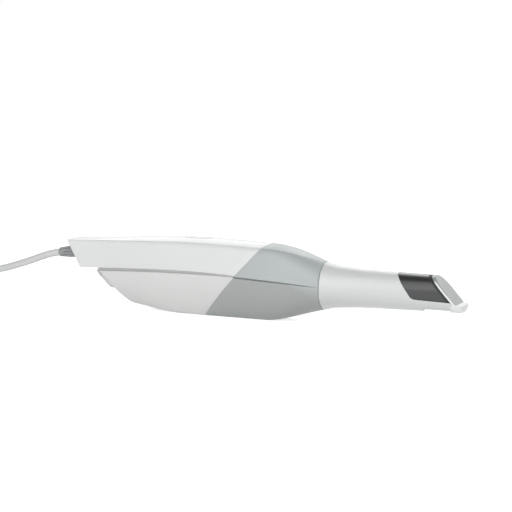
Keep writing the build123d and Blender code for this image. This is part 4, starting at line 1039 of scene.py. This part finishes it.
class SCANNER_OT_scan_button(bpy.types.Operator):
    """Builds the oval button, dished for a fingertip, with its rim and stem"""

    bl_idname = "scanner.scan_button"
    bl_label = "Scan button"

    def execute(self, context):
        look = context.scene.scanner_shell
        grid = ring_grid(BUTTON_FACE, button_oval)
        grid[..., 0] += BUTTON_AT
        grid[..., 2] += cover_height(grid[..., 0], grid[..., 1]) + BUTTON_PROUD
        grid[0, :, 2] = BUTTON_FLOOR
        ends = grid[[-1]].copy()
        ends[..., 1] = 0
        under = ring_grid(BUTTON_UNDER, button_oval)
        stem = under[-len(STEM_RADII) :]
        turn = np.arctan2(stem[..., 1], stem[..., 0] / STEM_SPREAD)
        stem[..., 0], stem[..., 1] = column(STEM_RADII) * np.cos(turn), column(STEM_RADII) * np.sin(turn)
        under += np.array((BUTTON_AT, 0, BUTTON_FLOOR))
        form = tube(np.concatenate([under[::-1], grid, ends]))
        finish = moulded("button_white", shade(look.upper, 0.97), 0.4, coat=0.1)
        piece("press_button", form, "button", "scan_button", finish, "white_cover")
        return {"FINISHED"}


class SCANNER_OT_tip(bpy.types.Operator):
    """Finishes the push-on tip: white sleeve, dark mirror cover and mirror"""

    bl_idname = "scanner.tip"
    bl_label = "Scanning tip"

    def execute(self, context):
        look = context.scene.scanner_tip
        fine = {"grain": 0.00025, "depth": 0.000006, "coat": 0.15}
        face = float((corners(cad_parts["tip_mirror"].data) @ MIRROR_NORMAL).max())
        # Painted light: the sleeve's lip is painted whiter
        dress(moulded("tip_white_moulding", look.sleeve, 0.33, bright=LIP_PAINTED_LIGHT, **fine), "tip_sleeve")
        dress(glossy_cover("mirror_cover_black", look.cover, look.sleeve, face), "mirror_cover")
        dress(mirror_glass("mirror_plate", look.back, face), "tip_mirror")
        return {"FINISHED"}


class SCANNER_OT_strain_relief(bpy.types.Operator):
    """Builds the tapered, fluted strain relief"""

    bl_idname = "scanner.strain_relief"
    bl_label = "Strain relief"

    def execute(self, context):
        look = context.scene.scanner_cable
        side, up = (0, -1, 0), (-math.sin(RELIEF_DROP), 0, math.cos(RELIEF_DROP))
        turn = np.linspace(0, 2 * math.pi, 240, endpoint=False)[None, :]
        share = column(np.linspace(0, 1, 60))
        end = RELIEF_LENGTH - RELIEF_ROUND
        foot = RELIEF_ROOT * np.sin(turn) * math.tan(REAR_LEAN - RELIEF_DROP) - RELIEF_SUNK
        reach = foot + (end - foot) * share
        radius = RELIEF_ROOT - (RELIEF_ROOT - RELIEF_END) / RELIEF_LENGTH * np.maximum(reach, 0)
        window = eased(between(reach, (FLUTE_ENDS[0], end - FLUTE_ENDS[1]), FLUTE_RUN))
        flute = np.clip(np.cos(FLUTES * turn), 0, 1) ** FLUTE_FORM
        radius = radius - FLUTE_DEPTH * window * flute
        bend, none = column(np.radians((30, 60, 90))), 0 * turn
        rim = radius[-1:] - RELIEF_ROUND * (1 - np.cos(bend))
        socket, depth = SOCKET_RADIUS + none, RELIEF_LENGTH - SOCKET_DEPTH + none
        radius = np.concatenate([none, radius, rim, socket, socket, none])
        rim = end + RELIEF_ROUND * np.sin(bend) + none
        reach = np.concatenate([foot[:, :1] + none, reach, rim, RELIEF_LENGTH + none, depth, depth])
        form = turned(radius, reach, turn, RELIEF_AT, (side, up, RELIEF_OUT))
        finish = rubber("gland_rubber", look.gland)
        piece("cable_gland", form, "handle", "strain_relief", finish, "grey_rubber", 60)
        return {"FINISHED"}


class SCANNER_OT_cable(bpy.types.Operator):
    """Lays the cable from the gland into its stored hank, with the tie and the plug on it"""

    bl_idname = "scanner.cable"
    bl_label = "Cable, tie and plug"

    def route_points(self):
        """Corners of the free run, from the gland's socket to the hank."""
        steps = [CABLE_LEAD * RELIEF_OUT] + [np.array((-back, 0, -down)) for back, down in CABLE_STEPS]
        return np.cumsum([CABLE_START, *steps], axis=0)

    def hank_points(self, count):
        """Stored turns, wound layer by layer from the top: inwards, outwards, inwards and outwards again. A turn is a
        straight, a round end, a straight and a round end; its corners are those of the polygon that the curve
        touches from inside, count to a round end. Round the second end the cable shifts to the next turn, the lower
        layers first, so that each finds its place free, and under the tie all draw together."""
        apart = HANK_STRAIGHT / 3
        bend = math.pi / count
        angles = (np.arange(count) + 0.5) * bend
        end = np.full(count, HANK_STRAIGHT / 2)
        along_x = np.concatenate([(0, -apart), -end, (-apart, 0, apart), end, (apart,)])
        wide = 1 / math.cos(bend / 2)
        turn_x = np.concatenate([(0, 0), -wide * np.sin(angles), (0, 0, 0), wide * np.sin(angles), (0,)])
        turn_y = np.concatenate([(1, 1), wide * np.cos(angles), (-1, -1, -1), -wide * np.cos(angles), (1,)])
        per_turn = len(along_x)
        across = len(HANK_RADII)
        turns = across * len(HANK_LAYERS)
        radii = np.array((HANK_RADII + HANK_RADII[::-1]) * (len(HANK_LAYERS) // 2) + HANK_RADII[:1])
        heights = np.repeat(HANK_LAYERS + HANK_LAYERS[-1:], across)[: turns + 1]
        number = np.arange(turns * per_turn - per_turn // 2)
        turn, step = number // per_turn, number % per_turn
        begin = SHIFT_BEGIN - SHIFT_LAYER * (turn // across) - SHIFT_DOWN * (turn % across == across - 1)
        shift = eased(((step - per_turn + count + 2) / (count + 1) - begin) / SHIFT_RUN)
        radius = radii[turn] + (radii[turn + 1] - radii[turn]) * shift
        z = heights[turn] + (heights[turn + 1] - heights[turn]) * shift
        tied = HANK_TIED * (step == 2 + count + 1)
        radius = radius + (HANK_RADII[1] - radius) * tied
        z = z + (HANK_TOP / 2 - z) * tied * HANK_PRESSED
        place = HANK_AT + np.stack([along_x[step] + radius * turn_x[step], radius * turn_y[step]], -1)
        return np.c_[place, z]

    def tail_points(self):
        """Last stretch: off the lowest outer turn, up round the hank's end and over it, straight into the plug."""
        phi, radius = np.radians(TAIL_ANGLES), np.array(TAIL_RADII)
        x = HANK_AT[0] + HANK_STRAIGHT / 2 + radius * np.cos(phi)
        arc = np.stack([x, HANK_AT[1] + radius * np.sin(phi), TAIL_HEIGHTS], -1)
        boot = np.array([(PLUG_AT[0] + ahead, PLUG_AT[1], PLUG_AT[2]) for ahead in TAIL_BOOT])
        return np.concatenate([arc, boot])

    def execute(self, context):
        look = context.scene.scanner_cable
        route = [self.route_points(), self.hank_points(look.turn_points), self.tail_points()]
        route = np.concatenate(route) * MM
        data = bpy.data.curves.new("cord", "CURVE")
        data.dimensions = "3D"
        data.resolution_u = 6
        data.bevel_depth = look.radius
        data.bevel_resolution = 5
        data.use_fill_caps = True
        line = data.splines.new("NURBS")
        line.points.add(len(route) - 1)
        line.points.foreach_set("co", np.c_[route, np.ones(len(route))].ravel())
        line.order_u = 3
        line.use_endpoint_u = True
        line.use_smooth = True
        cord = bpy.data.objects.new("cord", data)
        context.scene.collection.objects.link(cord)
        finish = moulded("cable_sheath", look.sheath, 0.5, grain=0.0005, depth=0.00002)
        settle(cord, "handle", "cable", "cable_coil", material=finish, slot="cable_grey")
        dress(finish, "inner_lead")
        band = self.band(webbing("tie_webbing", shade(look.dark, 1.4)))
        grip, shell = self.plug(look)
        return {"FINISHED"}

    def band(self, finish):
        """Band round the bundle of turns: a rounded rectangle carried across its width, with soft selvedges."""
        grid = ring_grid(BAND_RINGS, lambda inset: rounded_rectangle(BAND_HALF, HANK_TOP / 2, BAND_CORNER, inset))
        origin = (HANK_AT[0], HANK_AT[1] - HANK_RADII[1], HANK_TOP / 2)
        form = tube(in_frame(grid, origin, ((0, 1, 0), (0, 0, 1), (1, 0, 0))))
        return piece("coil_band", form, "handle", "cable_tie", finish, "black_plastic", 60)

    def plug(self, look):
        """Plug turned about its axis: boot with relief rings, ribbed grip, and a plated shell with a rolled rim."""
        turn = np.linspace(0, 2 * math.pi, 96, endpoint=False)[None, :]
        axes = ((0, -1, 0), (0, 0, 1), (-1, 0, 0))
        origin = (PLUG_AT[0] + BOOT_LENGTH, PLUG_AT[1], PLUG_AT[2])
        reach = np.linspace(0, BOOT_LENGTH, 41)
        first, last = BOOT_RING_ENDS
        rings = (np.cos(2 * math.pi * reach / BOOT_RING_PITCH) < -0.2) * (reach > first) * (reach < last)
        boot = np.c_[BOOT_RADIUS + BOOT_FLARE * reach - BOOT_RING_DEPTH * rings, reach]
        ribbed = [(PLUG_RADIUS, reach) for reach in np.linspace(*PLUG_GRIP, 26)]
        outline = np.concatenate([PLUG_SOCKET, boot, PLUG_NECK, ribbed, PLUG_FRONT])
        radius, reach = outline[:, :1], outline[:, 1:]
        groove = (0.5 + 0.5 * np.cos(RIBS * turn)) ** 2
        radius = radius - RIB_DEPTH * between(reach, RIB_ENDS, RIB_RUN) * groove
        form = turned(radius, reach, turn, origin, axes)
        finish = moulded("plug_black", look.dark, 0.48, grain=0.0004, depth=0.00002)
        body = piece("plug_grip", form, "handle", "plug_body", finish, "black_plastic", 50)
        radius, reach = np.array(PLUG_SHELL).T[..., None]
        form = turned(radius, reach, turn, origin, axes)
        finish = metal("plug_nickel", (0.7, 0.69, 0.66), 0.24, (8.0, 0.5, 8.0))
        return body, piece("plug_sleeve", form, "handle", "plug_shell", finish, "plated_magnet", 30)


class SCANNER_OT_optics(bpy.types.Operator):
    """Finishes the nose, lenses, bench and focus drive"""

    bl_idname = "scanner.optics"
    bl_label = "Optics"

    def execute(self, context):
        clear = glass("optical_glass", (0.93, 0.97, 0.98))
        dress(clear, "nose_window", "front_lens", "rear_lens", "focus_lens", "beam_splitter", "light_lens")
        dress(metal("black_anodised", (0.045, 0.046, 0.05), 0.42, (0.2, 6.0, 6.0)), "nose_tube")
        dress(rubber("ring_rubber", (0.025, 0.025, 0.027)), "grip_ring")
        bare = metal("machined_aluminium", (0.72, 0.73, 0.74), 0.32, (0.3, 3.0, 3.0))
        dress(bare, "optical_bench", "heat_sink")
        steel = metal("screw_steel", (0.6, 0.6, 0.61), 0.26, (2.0, 2.0, 0.4))
        dress(steel, "bench_screws", "nose_screws", "board_screws", "guide_rods")
        dress(metal("magnet_nickel", (0.66, 0.65, 0.62), 0.2, (0.4, 3.0, 3.0)), "drive_magnet")
        dress(winding("coil_copper", (0.72, 0.36, 0.18)), "drive_coil")
        dress(moulded("carriage_black", (0.04, 0.04, 0.045), 0.45), "focus_carriage")
        return {"FINISHED"}


class SCANNER_OT_electronics(bpy.types.Operator):
    """Finishes the circuit boards and what they carry"""

    bl_idname = "scanner.electronics"
    bl_label = "Electronics"

    def execute(self, context):
        green = circuit("board_green", (0.02, 0.13, 0.06))
        dress(green, "main_board", "button_board", "light_board", "sensor_board")
        dress(metal("shield_tin", (0.68, 0.68, 0.66), 0.3, (0.5, 4.0, 4.0)), "board_shield")
        dress(chip("sensor_chip", (0.03, 0.03, 0.035)), "image_sensor")
        dress(moulded("header_black", (0.035, 0.035, 0.038), 0.5), "cable_header")
        dress(moulded("switch_black", (0.05, 0.05, 0.055), 0.42), "button_switch")
        return {"FINISHED"}


class SCANNER_OT_stage(bpy.types.Operator):
    """Sets the camera, the pale floor and the soft studio light"""

    bl_idname = "scanner.stage"
    bl_label = "Studio"

    def execute(self, context):
        scene, look = context.scene, context.scene.scanner_stage
        self.camera(scene, look)
        self.floor(scene, look)
        self.world(scene, look)
        self.lamp(scene, "back_light", look.back, (-0.1, 1.2, 1.0), 2.2, 1.2)
        self.lamp(scene, "viewer_light", look.front, (0.3, -1.5, 0.35), 1.6, 0.8)
        self.lamp(scene, "high_light", look.high, (0.1, -1.0, 1.0), 1.2, 0.85)
        scene.view_settings.view_transform = "Standard"
        return {"FINISHED"}

    def camera(self, scene, look):
        """Camera that looks past the scanner's middle, so that it shows where SHOWN_AT says."""
        a, e, roll = look.azimuth, look.elevation, look.roll
        back = Vector((math.sin(a) * math.cos(e), -math.cos(a) * math.cos(e), math.sin(e)))
        level = Vector((math.cos(a), math.sin(a), 0))
        rise = back.cross(level)
        right = level * math.cos(roll) + rise * math.sin(roll)
        up = rise * math.cos(roll) - level * math.sin(roll)
        pixel = look.distance / (look.focal * PICTURE)
        place = Vector(MIDDLE) + back * look.distance - right * SHOWN_AT[0] * pixel + up * SHOWN_AT[1] * pixel
        data = bpy.data.cameras.new("camera")
        data.sensor_width = SENSOR
        data.lens = look.focal * SENSOR
        data.clip_start, data.clip_end = 0.01, 50.0
        camera = bpy.data.objects.new("camera", data)
        turn = Matrix((right, up, back)).transposed().to_4x4()
        camera.matrix_world = Matrix.Translation(place) @ turn
        scene.collection.objects.link(camera)
        scene.camera = camera

    def floor(self, scene, look):
        """Round pale floor: it keeps the shadow, and shows near white to the camera, in gloss and through glass."""
        turn = np.linspace(0, 2 * math.pi, 97)[:-1]
        rim = np.c_[np.cos(turn), np.sin(turn), 0 * turn] * look.floor_radius
        mesh = bpy.data.meshes.new("floor")
        mesh.from_pydata(rim, [], [range(len(rim))])
        floor = bpy.data.objects.new("floor", mesh)
        scene.collection.objects.link(floor)
        made = Finish("floor_pale", look.floor, 1.0, specular_ior_level=0.0)
        glow = made.node("ShaderNodeEmission", None, {"Color": (1, 1, 1, 1), "Strength": look.floor_glow})
        shader = Value(made, made.shader.outputs[0])
        both = made.node("ShaderNodeAddShader", None, {0: shader, 1: glow})
        shown = made.node("ShaderNodeMixShader", None, {0: made.seen(), 1: shader, 2: both})
        made.tree.links.new(shown.socket, made.tree.nodes["Material Output"].inputs[0])
        mesh.materials.append(made.material)

    def world(self, scene, look):
        """White to the camera, and in gloss and glass up to the ceiling; else soft light that falls off overhead."""
        world = bpy.data.worlds.new("studio")
        world.use_nodes = True
        scene.world = world
        made = Nodes(world.node_tree)
        camera = made.node("ShaderNodeLightPath", output="Is Camera Ray")
        height = made.node("ShaderNodeSeparateXYZ", None, {0: made.node("ShaderNodeTexCoord", output=0)}, 2)
        soft = 1 - (1 - look.overhead) * height.ramp(0.35, 0.75)
        soft = soft * (look.ambient + (1 - look.ambient) * made.seen())
        strength = camera + (1 - camera) * soft
        ground = world.node_tree.nodes["Background"]
        ground.inputs["Color"].default_value = (1, 1, 1, 1)
        made.tree.links.new(strength.socket, ground.inputs["Strength"])

    def lamp(self, scene, name, power, place, width, height):
        """Area light that points at the scanner."""
        data = bpy.data.lights.new(name, "AREA")
        data.shape = "RECTANGLE"
        data.size, data.size_y = width, height
        data.energy = power
        lamp = bpy.data.objects.new(name, data)
        lamp.location = place
        lamp.rotation_euler = (LAMP_TARGET - Vector(place)).to_track_quat("-Z", "Y").to_euler()
        scene.collection.objects.link(lamp)


OPERATORS = (
    SCANNER_OT_stage,
    SCANNER_OT_upper_cover,
    SCANNER_OT_lower_cover,
    SCANNER_OT_grip_sleeve,
    SCANNER_OT_scan_button,
    SCANNER_OT_tip,
    SCANNER_OT_strain_relief,
    SCANNER_OT_cable,
    SCANNER_OT_optics,
    SCANNER_OT_electronics,
)
SETTINGS = {
    "scanner_shell": ScannerShellSettings,
    "scanner_tip": ScannerTipSettings,
    "scanner_cable": ScannerCableSettings,
    "scanner_stage": ScannerStageSettings,
}


class SCANNER_PT_panel(bpy.types.Panel):
    """Lists the scanner's pieces and their settings"""

    bl_label = "Intraoral scanner"
    bl_idname = "SCANNER_PT_panel"
    bl_space_type = "VIEW_3D"
    bl_region_type = "UI"
    bl_category = "Scanner"

    def draw(self, context):
        for operator in OPERATORS:
            self.layout.operator(operator.bl_idname)
        for name, group in SETTINGS.items():
            box = self.layout.box()
            for setting in group.__annotations__:
                box.prop(getattr(context.scene, name), setting)


def register():
    for kind in (*SETTINGS.values(), *OPERATORS, SCANNER_PT_panel):
        bpy.utils.register_class(kind)
    for name, group in SETTINGS.items():
        setattr(bpy.types.Scene, name, PointerProperty(type=group))


def unregister():
    for name in SETTINGS:
        delattr(bpy.types.Scene, name)
    for kind in (SCANNER_PT_panel, *reversed(OPERATORS), *SETTINGS.values()):
        bpy.utils.unregister_class(kind)


def main():
    register()
    for operator in OPERATORS:
        family, name = operator.bl_idname.split(".")
        getattr(getattr(bpy.ops, family), name)()


if __name__ == "__main__":
    main()
